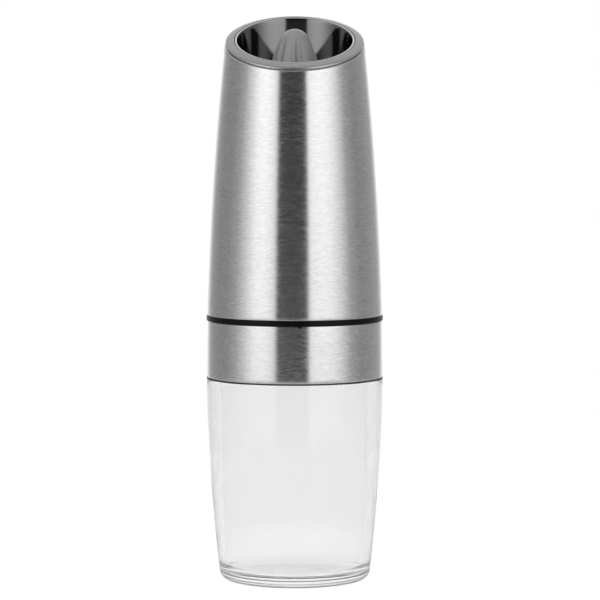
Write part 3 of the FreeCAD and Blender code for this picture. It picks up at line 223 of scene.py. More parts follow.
class Finishes(bpy.types.PropertyGroup):
    """Colours and finish of the parts that show."""
    steel_dark: colour("Steel, dark streaks", "Darker tone of the brushed steel", 0.55, 0.55, 0.555)
    steel_pale: colour("Steel, pale streaks", "Paler tone of the brushed steel", 0.71, 0.71, 0.715)
    rim: colour("Rim", "Satin metal of the rim", 0.53, 0.53, 0.535)
    # The liner's two tones are lit and shaded copies of one metal: the bore's own tone is darkened with
    # painted shade for the dark mouth, and the edge's tone is a painted highlight where the lip faces up
    mirror: colour("Liner", "Polished metal of the liner's bore", 0.215, 0.215, 0.218)
    mirror_edge: colour("Liner edge", "Bright metal of the liner's rolled edge", 0.75, 0.75, 0.755)
    cup: colour("Cup", "Tint of the clear cup", 0.998, 0.999, 0.999)
    knob: colour("Knob", "Grey plastic of the knob", 0.18, 0.183, 0.186)
    ring: colour("Seam ring", "Black of the ring between sleeve and band", 0.004, 0.004, 0.004)
    brush_depth: share("Brush depth", "Depth of the brushed lines", 0.2)
    cup_haze: share("Cup haze", "Roughness of the clear cup", 0.07)
    cup_clear: share("Cup clearness", "How much light passes the cup's wall unscattered", 0.9)


class Studio(bpy.types.PropertyGroup):
    """Camera, lamps and background."""
    camera_distance: length("Camera distance", "From the mill's axis to the camera", 1097.82)
    camera_height: length("Camera height", "Height of the camera over the table", 176.16)
    camera_side: length("Camera side", "How far right of the axis the camera stands", 1.9)
    camera_pitch: tilt("Camera pitch", "How far the camera looks down", 3.919)
    lens: level("Lens", "Focal length in millimetres on a 36 mm sensor", 183.05)
    top_lamp: level("Top lamp", "Power of the soft lamp above in watts", 6.0)
    mouth_lamp: level("Mouth lamp", "Power of the narrow lamp on the knob in watts", 8.5)
    box: level("Soft boxes", "Brightness of the two tall soft boxes", 1.65)
    flag: level("Dark front", "Brightness of the dark front between the soft boxes", 0.09)
    side: level("Sides", "Brightness of the surroundings at the sides", 0.33)
    back: level("Back", "Brightness of the background behind the mill", 1.0)
    ceiling_edge: level("Ceiling edge", "Brightness just above the soft boxes", 0.85)
    ceiling: level("Ceiling", "Brightness overhead", 0.22)


# Outlines and meshes

def circle_through(first, second, third):
    """Centre and radius of the circle through three outline points."""
    a, b, c = Vector(first), Vector(second), Vector(third)
    ab, ac = b - a, c - a
    cross = 2 * (ab.x * ac.y - ab.y * ac.x)
    along = (ac.y * ab.length_squared - ab.y * ac.length_squared) / cross
    across = (ab.x * ac.length_squared - ac.x * ab.length_squared) / cross
    centre = a + Vector((along, across))
    return centre, (a - centre).length


def round_line(low, middle, high):
    """The radius, as a function of height, of a side that bulges outwards through three points."""
    centre, reach = circle_through(low, middle, high)

    def radius_at(height):
        return centre.x + math.sqrt(reach ** 2 - (height - centre.y) ** 2)
    return radius_at


def spaced(low, high, count):
    """Evenly spaced values from one end to the other."""
    return [low + (high - low) * k / count for k in range(count + 1)]


def limited(value):
    """The value, kept from 0 to 1."""
    return min(max(value, 0.0), 1.0)


def corner(centre_radius, centre_height, radius, start, end, count):
    """Points on a round corner of an outline, between two directions in degrees."""
    return [(centre_radius + radius * math.cos(math.radians(turn)),
             centre_height + radius * math.sin(math.radians(turn))) for turn in spaced(start, end, count)]


def spin_outline(outline, closed=True, steps=STEPS_ROUND):
    """Turns an outline of (radius, height) points about the mill's axis, a quarter and its mirrors."""
    shape = bmesh.new()
    verts = [shape.verts.new((radius, 0.0, height)) for radius, height in outline]
    ends = verts[1:] + verts[:1] if closed else verts[1:]
    edges = [shape.edges.new(pair) for pair in zip(verts, ends)]
    bmesh.ops.spin(shape, geom=verts + edges, cent=(0, 0, 0), axis=(0, 0, 1),
                   angle=math.pi / 2, steps=steps // 4)
    for axis in ("X", "Y"):
        bmesh.ops.mirror(shape, geom=shape.verts[:] + shape.edges[:] + shape.faces[:], axis=axis,
                         merge_dist=MERGED)
    bmesh.ops.remove_doubles(shape, verts=shape.verts, dist=MERGED)
    bmesh.ops.recalc_face_normals(shape, faces=shape.faces)
    return shape


def reach_of(vert):
    return math.hypot(vert.co.x, vert.co.y)


def on_ring(vert, place):
    return abs(reach_of(vert) - place[0]) < SAME_PLACE and abs(vert.co.z - place[1]) < SAME_PLACE


def round_edges(shape, edges, width, segments):
    """Bevels edges into a round."""
    bmesh.ops.bevel(shape, geom=list(edges), offset=width, offset_type="OFFSET", segments=segments,
                    profile=0.5, affect="EDGES", material=-1, clamp_overlap=True)


def soften(shape, places, width, segments):
    """Rounds the ring-shaped edges that pass through these outline points."""
    rings = [{vert for vert in shape.verts if on_ring(vert, place)} for place in places]
    edges = {edge for ring in rings for vert in ring for edge in vert.link_edges
             if edge.other_vert(vert) in ring}
    round_edges(shape, edges, width, segments)


def whole(radius, height):
    """The share of the wall's line that a ring follows, where each ring follows all of it."""
    return 1.0


def slant(shape, radius_at, slope_at, follow=whole):
    """Tilts each ring about the X axis by its slope, and keeps its points on the wall's own line."""
    for vert in shape.verts:
        radius = reach_of(vert)
        if radius < SAME_PLACE:
            continue
        way = Vector((vert.co.x, vert.co.y)) / radius
        start = vert.co.z
        carried = follow(radius, start)
        reach = radius
        for _ in range(SLANT_ROUNDS):
            height = start + slope_at(start) * reach * way.y
            reach = radius + carried * (radius_at(height) - radius_at(start))
        vert.co = (reach * way.x, reach * way.y, height)


def new_piece(shape, name, node):
    """Makes a piece's object, which stands for one of the frame's nodes and takes its finish."""
    mesh = bpy.data.meshes.new(name)
    shape.to_mesh(mesh)
    shape.free()
    mesh.shade_smooth()
    mesh.set_sharp_from_angle(angle=SHARP_EDGE)
    mesh.materials.append(finish_for(slot_of[node]))
    piece = bpy.data.objects.new(name, mesh)
    bpy.context.scene.collection.objects.link(piece)
    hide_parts(node)
    return piece


def sleeve_line():
    """The sleeve's outer radius by height."""
    sizes = bpy.context.scene.mill_sleeve
    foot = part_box("upper_sleeve")[0].z
    return round_line((sizes.foot_radius, foot), (sizes.waist_radius, sizes.waist_height),
                      (sizes.crown_radius, sizes.crown_height))


class MILL_OT_sleeve(bpy.types.Operator):
    """Builds the tall brushed sleeve with its slanted top edge"""
    bl_idname = "mill.sleeve"
    bl_label = "Tall Sleeve"

    def execute(self, context):
        sizes = context.scene.mill_sleeve
        radius_at = sleeve_line()
        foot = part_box("upper_sleeve")[0].z
        outer = [(radius_at(height), height) for height in spaced(foot, sizes.cut_height, 60)]
        inner = [(radius - sizes.wall, height) for radius, height in reversed(outer)]
        shell = spin_outline(outer + inner)
        soften(shell, [outer[-1]], sizes.lip_round, segments=4)
        soften(shell, [outer[0], inner[0], inner[-1]], sizes.edge_round, segments=2)
        rise = math.tan(sizes.cut_tilt) / (sizes.cut_height - foot)
        slant(shell, radius_at, lambda height: rise * (height - foot))
        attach(new_piece(shell, "steel_sleeve", "upper_sleeve"), "sleeve")
        return {"FINISHED"}


class MILL_OT_rim(bpy.types.Operator):
    """Builds the slanted satin rim with its skirt inside the sleeve"""
    bl_idname = "mill.rim"
    bl_label = "Rim"

    def execute(self, context):
        sizes = context.scene.mill_rim
        sleeve = context.scene.mill_sleeve
        radius_at = sleeve_line()
        bore = sizes.liner_top_radius + sizes.liner_wall + sizes.skirt_gap
        skirt_inset = sleeve.wall + sizes.skirt_gap
        low = sleeve.cut_height - sizes.skirt
        seat = sleeve.cut_height + sizes.seam
        top = sizes.mouth_height + sizes.crest
        skirt = [(radius_at(height) - skirt_inset, height) for height in spaced(low, seat, 6)]
        edge_top = top - sizes.crown_fall
        crown = [(radius_at(height) - sizes.inset, height) for height in spaced(seat, edge_top, 3)]
        wall = [(bore, height) for height in spaced(top, low, 8)]
        ring = spin_outline(skirt + crown + wall)
        soften(ring, [crown[-1]], sizes.outer_round, segments=8)
        soften(ring, [wall[0]], sizes.inner_round, segments=5)
        soften(ring, [crown[0]], sleeve.edge_round, segments=2)
        low_slope = math.tan(sleeve.cut_tilt)
        top_slope = math.tan(sizes.mouth_tilt)

        def slope_at(height):
            return low_slope + (top_slope - low_slope) * limited((height - seat) / (top - seat))

        def follow(radius, height):
            return limited((radius - bore) / (radius_at(height) - sizes.inset - bore))
        slant(ring, radius_at, slope_at, follow)
        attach(new_piece(ring, "satin_rim", "rim_ring"), "sleeve")
        return {"FINISHED"}


class MILL_OT_liner(bpy.types.Operator):
    """Builds the polished liner inside the mouth"""
    bl_idname = "mill.liner"
    bl_label = "Mirror Liner"

    def execute(self, context):
        sizes = context.scene.mill_rim
        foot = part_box("outlet_liner")[0].z
        top = sizes.mouth_height + sizes.liner_lip
        taper = (sizes.liner_top_radius - sizes.liner_foot_radius) / (sizes.liner_top_height - foot)

        def radius_at(height):
            return sizes.liner_foot_radius + taper * (height - foot)
        inner = [(radius_at(height), height) for height in spaced(foot, top, 24)]
        outer = [(radius + sizes.liner_wall, height) for radius, height in reversed(inner)]
        shell = spin_outline(inner + outer)
        soften(shell, [inner[-1], outer[0]], sizes.liner_wall * LINER_ROUNDING, segments=4)
        rise = math.tan(sizes.mouth_tilt) / (top - foot)
        slant(shell, radius_at, lambda height: rise * (height - foot))
        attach(new_piece(shell, "mirror_liner", "outlet_liner"), "sleeve")
        return {"FINISHED"}


class MILL_OT_band(bpy.types.Operator):
    """Builds the short brushed band with the notch for the index nib"""
    bl_idname = "mill.band"
    bl_label = "Lower Band"

    def execute(self, context):
        sizes = context.scene.mill_sleeve
        low_corner, high_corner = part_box("lower_band")
        foot, top = low_corner.z, high_corner.z
        radius_at = round_line((high_corner.x, foot), (sizes.band_waist, (foot + top) / 2),
                               (sizes.band_top, top))
        notch_foot = top - sizes.notch_depth
        heights = spaced(foot, notch_foot, 12) + [top]
        outer = [(radius_at(height), height) for height in heights]
        bore = sizes.band_top - sizes.band_wall
        inner = [(bore, height) for height in reversed(heights)]
        ring = spin_outline(outer + inner)
        cut_notch(ring, sizes, notch_foot)
        soften(ring, [outer[0]], sizes.edge_round / 2, segments=2)
        soften(ring, [outer[-1]], sizes.edge_round, segments=3)
        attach(new_piece(ring, "steel_band", "lower_band"), "core")
        return {"FINISHED"}


def cut_notch(ring, sizes, notch_foot):
    """Opens the band's top edge between two of its columns, which move to the notch's sides."""
    half = sizes.notch_width / 2 / sizes.band_top
    step = 2 * math.pi / STEPS_ROUND
    column = round(sizes.notch_place / step)
    for vert in ring.verts:
        turn = math.atan2(vert.co.y, vert.co.x)
        for side in (0, 1):
            if abs(turn - (column + side) * step) < step / 10:
                radius = reach_of(vert)
                new_turn = sizes.notch_place + (2 * side - 1) * half
                vert.co.x = radius * math.cos(new_turn)
                vert.co.y = radius * math.sin(new_turn)
    middle = Vector((math.cos(sizes.notch_place), math.sin(sizes.notch_place)))
    gone = [face for face in ring.faces
            if face.calc_center_median().z > notch_foot + SAME_PLACE
            and face.calc_center_median().xy.angle(middle) < half / 2]
    bmesh.ops.delete(ring, geom=gone, context="FACES")
    rim = [edge for edge in ring.edges if edge.is_boundary]
    floor_edges = [edge for edge in rim
                   if all(abs(vert.co.z - notch_foot) < SAME_PLACE for vert in edge.verts)]
    bmesh.ops.bridge_loops(ring, edges=floor_edges)
    rim = [edge for edge in ring.edges if edge.is_boundary]
    bmesh.ops.holes_fill(ring, edges=rim, sides=4)
    bmesh.ops.recalc_face_normals(ring, faces=ring.faces)


class MILL_OT_ring(bpy.types.Operator):
    """Builds the black ring between sleeve and band, with its index nib"""
    bl_idname = "mill.ring"
    bl_label = "Seam Ring"

    def execute(self, context):
        sizes = context.scene.mill_sleeve
        low_corner, high_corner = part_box("seam_ring")
        edge, top = high_corner.x, high_corner.z
        foot = low_corner.z + NIB_DEPTH
        inner = edge - RING_WIDTH
        ring = spin_outline([(inner, foot), (edge, foot), (edge, top), (inner, top)])
        soften(ring, [(edge, foot), (edge, top)], RING_ROUND, segments=4)
        add_nib(ring, sizes, low_corner.z)
        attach(new_piece(ring, "black_ring", "seam_ring"), "core")
        return {"FINISHED"}


def add_nib(ring, sizes, low):
    """Adds the index nib, which reaches from the ring down into the band's notch."""
    nib = bmesh.ops.create_cube(ring, size=1.0)["verts"]
    height = NIB_DEPTH + RING_ROUND
    size = (sizes.band_wall - 2 * NIB_PLAY, sizes.notch_width - 2 * NIB_PLAY, height)
    bmesh.ops.scale(ring, verts=nib, vec=size)
    bmesh.ops.translate(ring, verts=nib, vec=(sizes.band_top - sizes.band_wall / 2, 0, low + height / 2))
    bmesh.ops.rotate(ring, verts=nib, cent=(0, 0, 0), matrix=Matrix.Rotation(sizes.notch_place, 3, "Z"))


class MILL_OT_cup(bpy.types.Operator):
    """Builds the clear spice cup with its threaded neck"""
    bl_idname = "mill.cup"
    bl_label = "Spice Cup"

    def execute(self, context):
        sizes = context.scene.mill_cup
        cup = spin_outline(cup_outline(sizes), closed=False)
        add_thread(cup, sizes)
        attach(new_piece(cup, "clear_cup", "spice_cup"), "cup")
        return {"FINISHED"}


def cup_outline(sizes):
    """The cup's section, from under the floor, up the outside, over the neck and down the inside."""
    side_foot = (sizes.foot_radius + sizes.corner, sizes.corner)
    side_top = sizes.shoulder - SHOULDER_EDGE
    outer_at = round_line(side_foot, (sizes.waist_radius, sizes.waist_height), (sizes.top_radius, side_top))
    outside = corner(sizes.foot_radius, sizes.corner, sizes.corner, -90, 6, 12)
    outside += [(outer_at(height), height) for height in spaced(sizes.corner + SHOULDER_EDGE, side_top, 40)]
    neck_top = sizes.shoulder + sizes.neck_height
    lip_foot = neck_top - NECK_LIP
    neck_bore = sizes.neck_radius - sizes.neck_wall
    neck = [(sizes.top_radius - SHOULDER_EDGE / 3, sizes.shoulder - SHOULDER_EDGE / 3),
            (sizes.top_radius - SHOULDER_EDGE, sizes.shoulder), (sizes.neck_radius, sizes.shoulder),
            (sizes.neck_radius, lip_foot)]
    neck += corner(sizes.neck_radius - NECK_LIP, lip_foot, NECK_LIP, 30, 90, 3)
    neck += corner(neck_bore + NECK_LIP, lip_foot, NECK_LIP, 90, 180, 4)
    inner_foot = side_foot[0] - sizes.foot_wall
    floor_corner = sizes.floor + sizes.inner_corner
    portion = (sizes.waist_height - floor_corner) / (neck_top - floor_corner)
    waist = inner_foot + portion * (neck_bore - inner_foot) + sizes.bulge
    inner_at = round_line((inner_foot, floor_corner), (waist, sizes.waist_height), (neck_bore, lip_foot))
    inside = [(inner_at(height), height) for height in spaced(lip_foot, floor_corner, 44)[1:]]
    inside += corner(inner_foot - sizes.inner_corner, floor_corner, sizes.inner_corner, 0, -90, 10)[1:]
    sunk = sizes.floor - sizes.floor_step
    inside += [(inside[-1][0] - sizes.floor_step, sizes.floor), (inside[-1][0] - 2 * sizes.floor_step, sunk)]
    gate_foot = sizes.recess_depth - sizes.gate_height
    under = [(0.0, gate_foot), (sizes.gate_radius, gate_foot), (sizes.gate_radius, sizes.recess_depth),
             (sizes.recess_radius, sizes.recess_depth), (sizes.recess_radius + NECK_LIP, 0.0)]
    return under + outside + neck + inside + [(0.0, sunk)]


def add_thread(cup, sizes):
    """Winds the single thread ridge round the neck."""
    steps = round(THREAD_TURNS * STEPS_ROUND / 2)
    middle = sizes.shoulder + sizes.thread_start + sizes.thread_root / 2
    root = sizes.neck_radius - THREAD_SUNK
    crest = sizes.neck_radius + sizes.thread_depth
    section = [(root, middle - sizes.thread_root / 2), (crest, middle - sizes.thread_crest / 2),
               (crest, middle + sizes.thread_crest / 2), (root, middle + sizes.thread_root / 2)]
    thread = bmesh.new()
    verts = [thread.verts.new((radius, 0.0, height)) for radius, height in section]
    edges = [thread.edges.new(pair) for pair in zip(verts, verts[1:] + verts[:1])]
    bmesh.ops.spin(thread, geom=verts + edges, cent=(0, 0, 0), axis=(0, 0, 1),
                   angle=2 * math.pi * THREAD_TURNS,
                   dvec=(0, 0, sizes.thread_lead * THREAD_TURNS / steps), steps=steps)
    ends = [edge for edge in thread.edges if edge.is_boundary]
    bmesh.ops.holes_fill(thread, edges=ends, sides=4)
    bmesh.ops.recalc_face_normals(thread, faces=thread.faces)
    join(cup, thread)


def join(shape, other):
    """Puts another shape's mesh in with this one."""
    mesh = bpy.data.meshes.new("joined")
    other.to_mesh(mesh)
    other.free()
    shape.from_mesh(mesh)
    bpy.data.meshes.remove(mesh)


class MILL_OT_seal(bpy.types.Operator):
    """Builds the thin black seal on the cup's shoulder"""
    bl_idname = "mill.seal"
    bl_label = "Cup Seal"

    def execute(self, context):
        low_corner, high_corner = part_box("cup_gasket")
        edge = high_corner.x
        inner = context.scene.mill_cup.neck_radius + SEAL_PLAY
        seal = spin_outline([(inner, low_corner.z), (edge, low_corner.z), (edge, high_corner.z),
                             (inner, high_corner.z)])
        soften(seal, [(edge, low_corner.z), (edge, high_corner.z)], SEAL_ROUND, segments=3)
        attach(new_piece(seal, "cup_seal", "cup_gasket"), "gasket")
        return {"FINISHED"}


class MILL_OT_knob(bpy.types.Operator):
    """Builds the fluted adjusting knob"""
    bl_idname = "mill.knob"
    bl_label = "Adjusting Knob"

    def execute(self, context):
        sizes = context.scene.mill_knob
        foot, tip = (corner_point.z for corner_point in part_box("adjust_knob"))
        knob = spin_outline(knob_outline(sizes, foot, tip), closed=False, steps=FLUTES * FLUTE_STEPS)
        round_edges(knob, flute(knob, sizes, foot, tip), sizes.crease_round, segments=3)
        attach(new_piece(knob, "fluted_knob", "adjust_knob"), "knob")
        return {"FINISHED"}


def knob_side(sizes, foot, tip):
    """The radius of the knob's side by height, without its flutes."""
    return round_line((sizes.foot_radius, foot + KNOB_FOOT_EDGE),
                      (sizes.waist_radius, tip - sizes.waist_drop),
                      (sizes.nose_radius, tip - sizes.nose_drop))


def knob_outline(sizes, foot, tip):
    """The knob's section without its flutes, from the tip down the side and up the bores."""
    nose = (sizes.nose_radius ** 2 + sizes.nose_drop ** 2) / (2 * sizes.nose_drop)
    nose_end = math.degrees(math.asin(sizes.nose_radius / nose))
    outline = corner(0.0, tip - nose, nose, 90, 90 - nose_end, 14)
    outline[0] = (0.0, tip)
    radius_at = knob_side(sizes, foot, tip)
    side = spaced(tip - sizes.nose_drop, foot + KNOB_FOOT_EDGE, 36)[1:]
    outline += [(radius_at(height), height) for height in side]
    seat_top, bore_top, end = foot + sizes.seat_depth, foot + sizes.bore_depth, tip - sizes.tip_room
    outline += [(sizes.foot_radius - sizes.foot_chamfer, foot), (sizes.seat, foot), (sizes.seat, seat_top),
                (sizes.bore, seat_top), (sizes.bore, bore_top), (sizes.tip_bore, bore_top),
                (sizes.tip_bore, end), (0.0, end)]
    return outline


def flute(knob, sizes, foot, tip):
    """Hollows the flutes, and returns the creases along their sides.

    Half of the columns of points crowd into the flutes, where they sink to the round cutter, and the
    other half spread over the ridges between them.
    """
    nose_z = tip - sizes.nose_drop
    cutter_at = round_line(
        (sizes.foot_radius + sizes.flute_radius - sizes.flute_depth, foot),
        (sizes.waist_radius + sizes.flute_radius - sizes.flute_depth, tip - sizes.waist_drop),
        (sizes.nose_radius + sizes.flute_radius - sizes.flute_fade, nose_z))
    side_at = knob_side(sizes, foot, tip)
    sector = 2 * math.pi / FLUTES
    crease_verts = set()
    for vert in knob.verts:
        radius = reach_of(vert)
        if radius < SAME_PLACE:
            continue
        turn = math.atan2(vert.co.y, vert.co.x)
        flute_middle = round(turn / sector) * sector
        off = turn - flute_middle
        side_z = min(max(vert.co.z, foot + KNOB_FOOT_EDGE), nose_z)
        side, centre = side_at(side_z), cutter_at(side_z)
        lip = math.acos((centre ** 2 + side ** 2 - sizes.flute_radius ** 2) / (2 * centre * side))
        portion = abs(off) / (sector / 4)
        inside = portion <= 1 + NEARLY
        off = math.copysign(lip * portion if inside else lip + (portion - 1) * (sector / 2 - lip), off)
        reach = radius
        if inside:
            centre = cutter_at(vert.co.z)
            drop = sizes.flute_radius ** 2 - (centre * math.sin(off)) ** 2
            reach = min(radius, centre * math.cos(off) - math.sqrt(max(drop, 0.0)))
        if abs(portion - 1) < NEARLY and radius > sizes.nose_radius - SAME_PLACE and vert.co.z < nose_z:
            crease_verts.add(vert)
        turn = sizes.flute_place + flute_middle + off
        vert.co.x = reach * math.cos(turn)
        vert.co.y = reach * math.sin(turn)
    return [edge for edge in knob.edges
            if all(vert in crease_verts and on_side(vert, sizes, foot) for vert in edge.verts)
            and abs(edge.verts[0].co.z - edge.verts[1].co.z) > SAME_PLACE]


def on_side(vert, sizes, foot):
    """Whether a point lies on the knob's side, not on the seat under it."""
    return reach_of(vert) > sizes.seat + SAME_PLACE or vert.co.z > foot + KNOB_FOOT_BAND


# Node helpers

def feed(tree, node, inputs):
    """Links or sets a node's inputs, given by name or place."""
    for name, value in inputs.items():
        if isinstance(value, bpy.types.NodeSocket):
            tree.links.new(value, node.inputs[name])
        else:
            node.inputs[name].default_value = value


def add(tree, kind, inputs=None, **settings):
    """Adds a shader node, sets it and feeds its inputs with sockets or values."""
    made = tree.nodes.new("ShaderNode" + kind)
    for name, value in settings.items():
        setattr(made, name, value)
    feed(tree, made, inputs or {})
    return made


def derive(tree, kind, inputs, **settings):
    """Adds a shader node and returns its first output."""
    return add(tree, kind, inputs, **settings).outputs[0]


def mix_colours(tree, factor, first, second):
    """The first colour where the factor is 0, the second where it is 1."""
    ramp = add(tree, "ValToRGB", {0: factor})
    ramp.color_ramp.elements[0].color = first
    ramp.color_ramp.elements[1].color = second
    return ramp.outputs[0]


def between(tree, factor, low, high):
    """The low value where the factor is 0, the high one where it is 1."""
    return derive(tree, "MapRange", {0: factor, 3: low, 4: high})


def emptied_tree(owner):
    """The node tree of a material or world, switched on and without its first nodes."""
    owner.use_nodes = True
    owner.node_tree.nodes.clear()
    return owner.node_tree


def new_group(name, inputs, outputs):
    """A node group with named number inputs and outputs: its tree, what it is given, and its end node."""
    tree = bpy.data.node_groups.new(name, "ShaderNodeTree")
    for title, value in inputs.items():
        socket = tree.interface.new_socket(name=title, in_out="INPUT", socket_type="NodeSocketFloat")
        socket.default_value = value
    for title, kind in outputs.items():
        tree.interface.new_socket(name=title, in_out="OUTPUT", socket_type="NodeSocket" + kind)
    return tree, tree.nodes.new("NodeGroupInput").outputs, tree.nodes.new("NodeGroupOutput")


def placed(tree, group, **values):
    """The outputs of a shared group, which is built when it is first asked for."""
    if group.__name__ not in bpy.data.node_groups:
        group()
    return add(tree, "Group", values, node_tree=bpy.data.node_groups[group.__name__]).outputs


def brushed_lines():
    """Fine lines round the mill's axis, with broader bands of tone among them."""
    tree, given, result = new_group("brushed_lines", {"Along": 40.0, "Across": 5000.0, "Depth": 0.2},
                                    {"Streak": "Float", "Normal": "Vector"})
    place = add(tree, "TexCoord").outputs["Object"]
    stretch = derive(tree, "CombineXYZ", {0: given["Along"], 1: given["Along"], 2: given["Across"]})
    fine_place = derive(tree, "VectorMath", {0: place, 1: stretch}, operation="MULTIPLY")
    fine = derive(tree, "TexNoise", {"Vector": fine_place, "Scale": 1.0, "Detail": 3.0, "Roughness": 0.6})
    broad_place = derive(tree, "VectorMath", {0: fine_place, 1: (0.2, 0.2, 0.25)}, operation="MULTIPLY")
    broad = derive(tree, "TexNoise", {"Vector": broad_place, "Scale": 1.0, "Detail": 2.0})
    both = derive(tree, "Mix", {0: 0.15, 2: fine, 3: broad})
    streak = derive(tree, "MapRange", {0: both, 1: 0.3, 2: 0.7})
    bump = derive(tree, "Bump", {"Strength": given["Depth"], "Distance": LINE_DEPTH, "Height": fine})
    feed(tree, result, {"Streak": streak, "Normal": bump})


def moulded_grain():
    """The fine, even grain and faint unevenness of a moulded surface."""
    tree, given, result = new_group("moulded_grain", {"Scale": 2500.0, "Depth": 0.15},
                                    {"Grain": "Float", "Patches": "Float", "Normal": "Vector"})
    place = add(tree, "TexCoord").outputs["Object"]
    grain = derive(tree, "TexNoise", {"Vector": place, "Scale": given["Scale"], "Detail": 2.0})
    patches = derive(tree, "TexNoise", {"Vector": place, "Scale": 90.0, "Detail": 3.0})
    bump = derive(tree, "Bump", {"Strength": given["Depth"], "Distance": GRAIN_DEPTH, "Height": grain})
    feed(tree, result, {"Grain": grain, "Patches": patches, "Normal": bump})


# Surfaces that the finishes share

def shaded(tone, factor=1.0):
    """A tone made darker or paler, and opaque."""
    return tuple(min(1.0, part * factor) for part in tone[:3]) + (1.0,)


def grained(tree, shader, tone, darker, paler, scale, depth):
    """Gives a surface moulded grain. Returns a tone that varies in soft patches, and the grain's masks."""
    grain = placed(tree, moulded_grain, Scale=scale, Depth=depth)
    feed(tree, shader, {"Normal": grain["Normal"]})
    return mix_colours(tree, grain["Patches"], shaded(tone, darker), shaded(tone, paler)), grain


def moulded_plastic(tree, shader, tone, roughness, scale, depth, contrast):
    """Plastic whose gloss follows its fine grain."""
    tones, grain = grained(tree, shader, tone, 1 - contrast, 1 + contrast, scale, depth)
    feed(tree, shader, {"Base Color": tones,
                        "Roughness": between(tree, grain["Grain"], roughness - 0.06, roughness + 0.06)})


def plain_metal(tree, shader, tone, roughness, scale, depth, contrast):
    """Metal whose gloss varies in soft patches."""
    tones, grain = grained(tree, shader, tone, 1 - contrast, 1 + contrast, scale, depth)
    feed(tree, shader, {"Base Color": tones, "Metallic": 1.0,
                        "Roughness": between(tree, grain["Patches"], roughness - 0.07, roughness + 0.07)})


def brushed_metal(tree, shader, dark, pale, smooth, rough, along, across, depth):
    """Metal with lines round the axis. Returns their mask, 0 in the dark streaks and 1 in the pale ones."""
    lines = placed(tree, brushed_lines, Along=along, Across=across, Depth=depth)
    streak = lines["Streak"]
    feed(tree, shader, {"Base Color": mix_colours(tree, streak, shaded(dark), shaded(pale)), "Metallic": 1.0,
                        "Roughness": between(tree, streak, smooth, rough), "Normal": lines["Normal"]})
    return streak


# Finishes that need their own nodes

def shell_steel(tree, shader):
    """Steel brushed round the axis, with a blurred sheen along its pale streaks."""
    finish = bpy.context.scene.mill_finish
    streak = brushed_metal(tree, shader, finish.steel_dark, finish.steel_pale, 0.15, 0.26, 420.0, 2600.0,
                           finish.brush_depth)
    feed(tree, shader, {"Anisotropic": 0.8, "Anisotropic Rotation": 0.25,
                        "Tangent": derive(tree, "Tangent", {}, direction_type="RADIAL", axis="Z"),
                        "Coat Weight": streak, "Coat Roughness": 0.5, "Coat IOR": 1.8})


def rim_satin(tree, shader):
    """Finely blasted metal."""
    tone, grain = grained(tree, shader, bpy.context.scene.mill_finish.rim, 0.92, 1.06, 3500.0, 0.25)
    feed(tree, shader, {"Base Color": tone, "Metallic": 1.0,
                        "Roughness": between(tree, grain["Patches"], 0.3, 0.42)})


def liner_mirror(tree, shader):
    """A polished bore whose tone is darkened with painted shade for the dark mouth, with a painted highlight
    on the lip where it faces up.
    """
    finish = bpy.context.scene.mill_finish
    tone, grain = grained(tree, shader, finish.mirror, 0.92, 1.0, 700.0, 0.02)
    # Painted highlight: faces of the lip that point up get the paler edge tone, standing for the light they
    # catch
    facing = add(tree, "SeparateXYZ", {0: add(tree, "TexCoord").outputs["Normal"]})
    upward = derive(tree, "MapRange", {0: facing.outputs["Z"], 1: 0.3, 2: 0.6})
    tones = derive(tree, "MixRGB", {0: upward, 1: tone, 2: finish.mirror_edge})
    feed(tree, shader, {"Base Color": tones, "Metallic": 1.0,
                        "Roughness": between(tree, grain["Patches"], 0.07, 0.1)})


def cup_clear(tree, shader):
    """Clear acrylic that scatters a little of the light."""
    finish = bpy.context.scene.mill_finish
    tone, grain = grained(tree, shader, finish.cup, 0.985, 1.0, 400.0, 0.015)
    haze = between(tree, grain["Patches"], finish.cup_haze * 0.8, finish.cup_haze * 1.3)
    feed(tree, shader, {"Base Color": tone, "Roughness": haze, "IOR": 1.49,
                        "Transmission Weight": finish.cup_clear})


def knob_grey(tree, shader):
    """Smooth grey plastic."""
    tone, grain = grained(tree, shader, bpy.context.scene.mill_finish.knob, 0.92, 1.05, 1800.0, 0.1)
    feed(tree, shader, {"Base Color": tone, "Roughness": between(tree, grain["Grain"], 0.2, 0.28)})


def seam_black(tree, shader):
    """Black plastic with less sheen than plain plastic has."""
    moulded_plastic(tree, shader, bpy.context.scene.mill_finish.ring, 0.3, 2200.0, 0.12, 0.08)
    feed(tree, shader, {"Specular IOR Level": 0.1})


def board_green(tree, shader):
    """Solder mask with the tracks that show through it."""
    place = add(tree, "TexCoord").outputs["Object"]
    tracks = derive(tree, "TexVoronoi", {"Vector": place, "Scale": 420.0}, distance="CHEBYCHEV", feature="F1")
    mask = derive(tree, "MapRange", {0: tracks, 1: 0.42, 2: 0.5})
    grain = placed(tree, moulded_grain)
    tone = mix_colours(tree, mask, (0.01, 0.09, 0.03, 1.0), (0.03, 0.19, 0.07, 1.0))
    feed(tree, shader, {"Base Color": tone,
                        "Roughness": between(tree, grain["Patches"], 0.25, 0.35),
                        "Normal": grain["Normal"], "Coat Weight": 0.3})


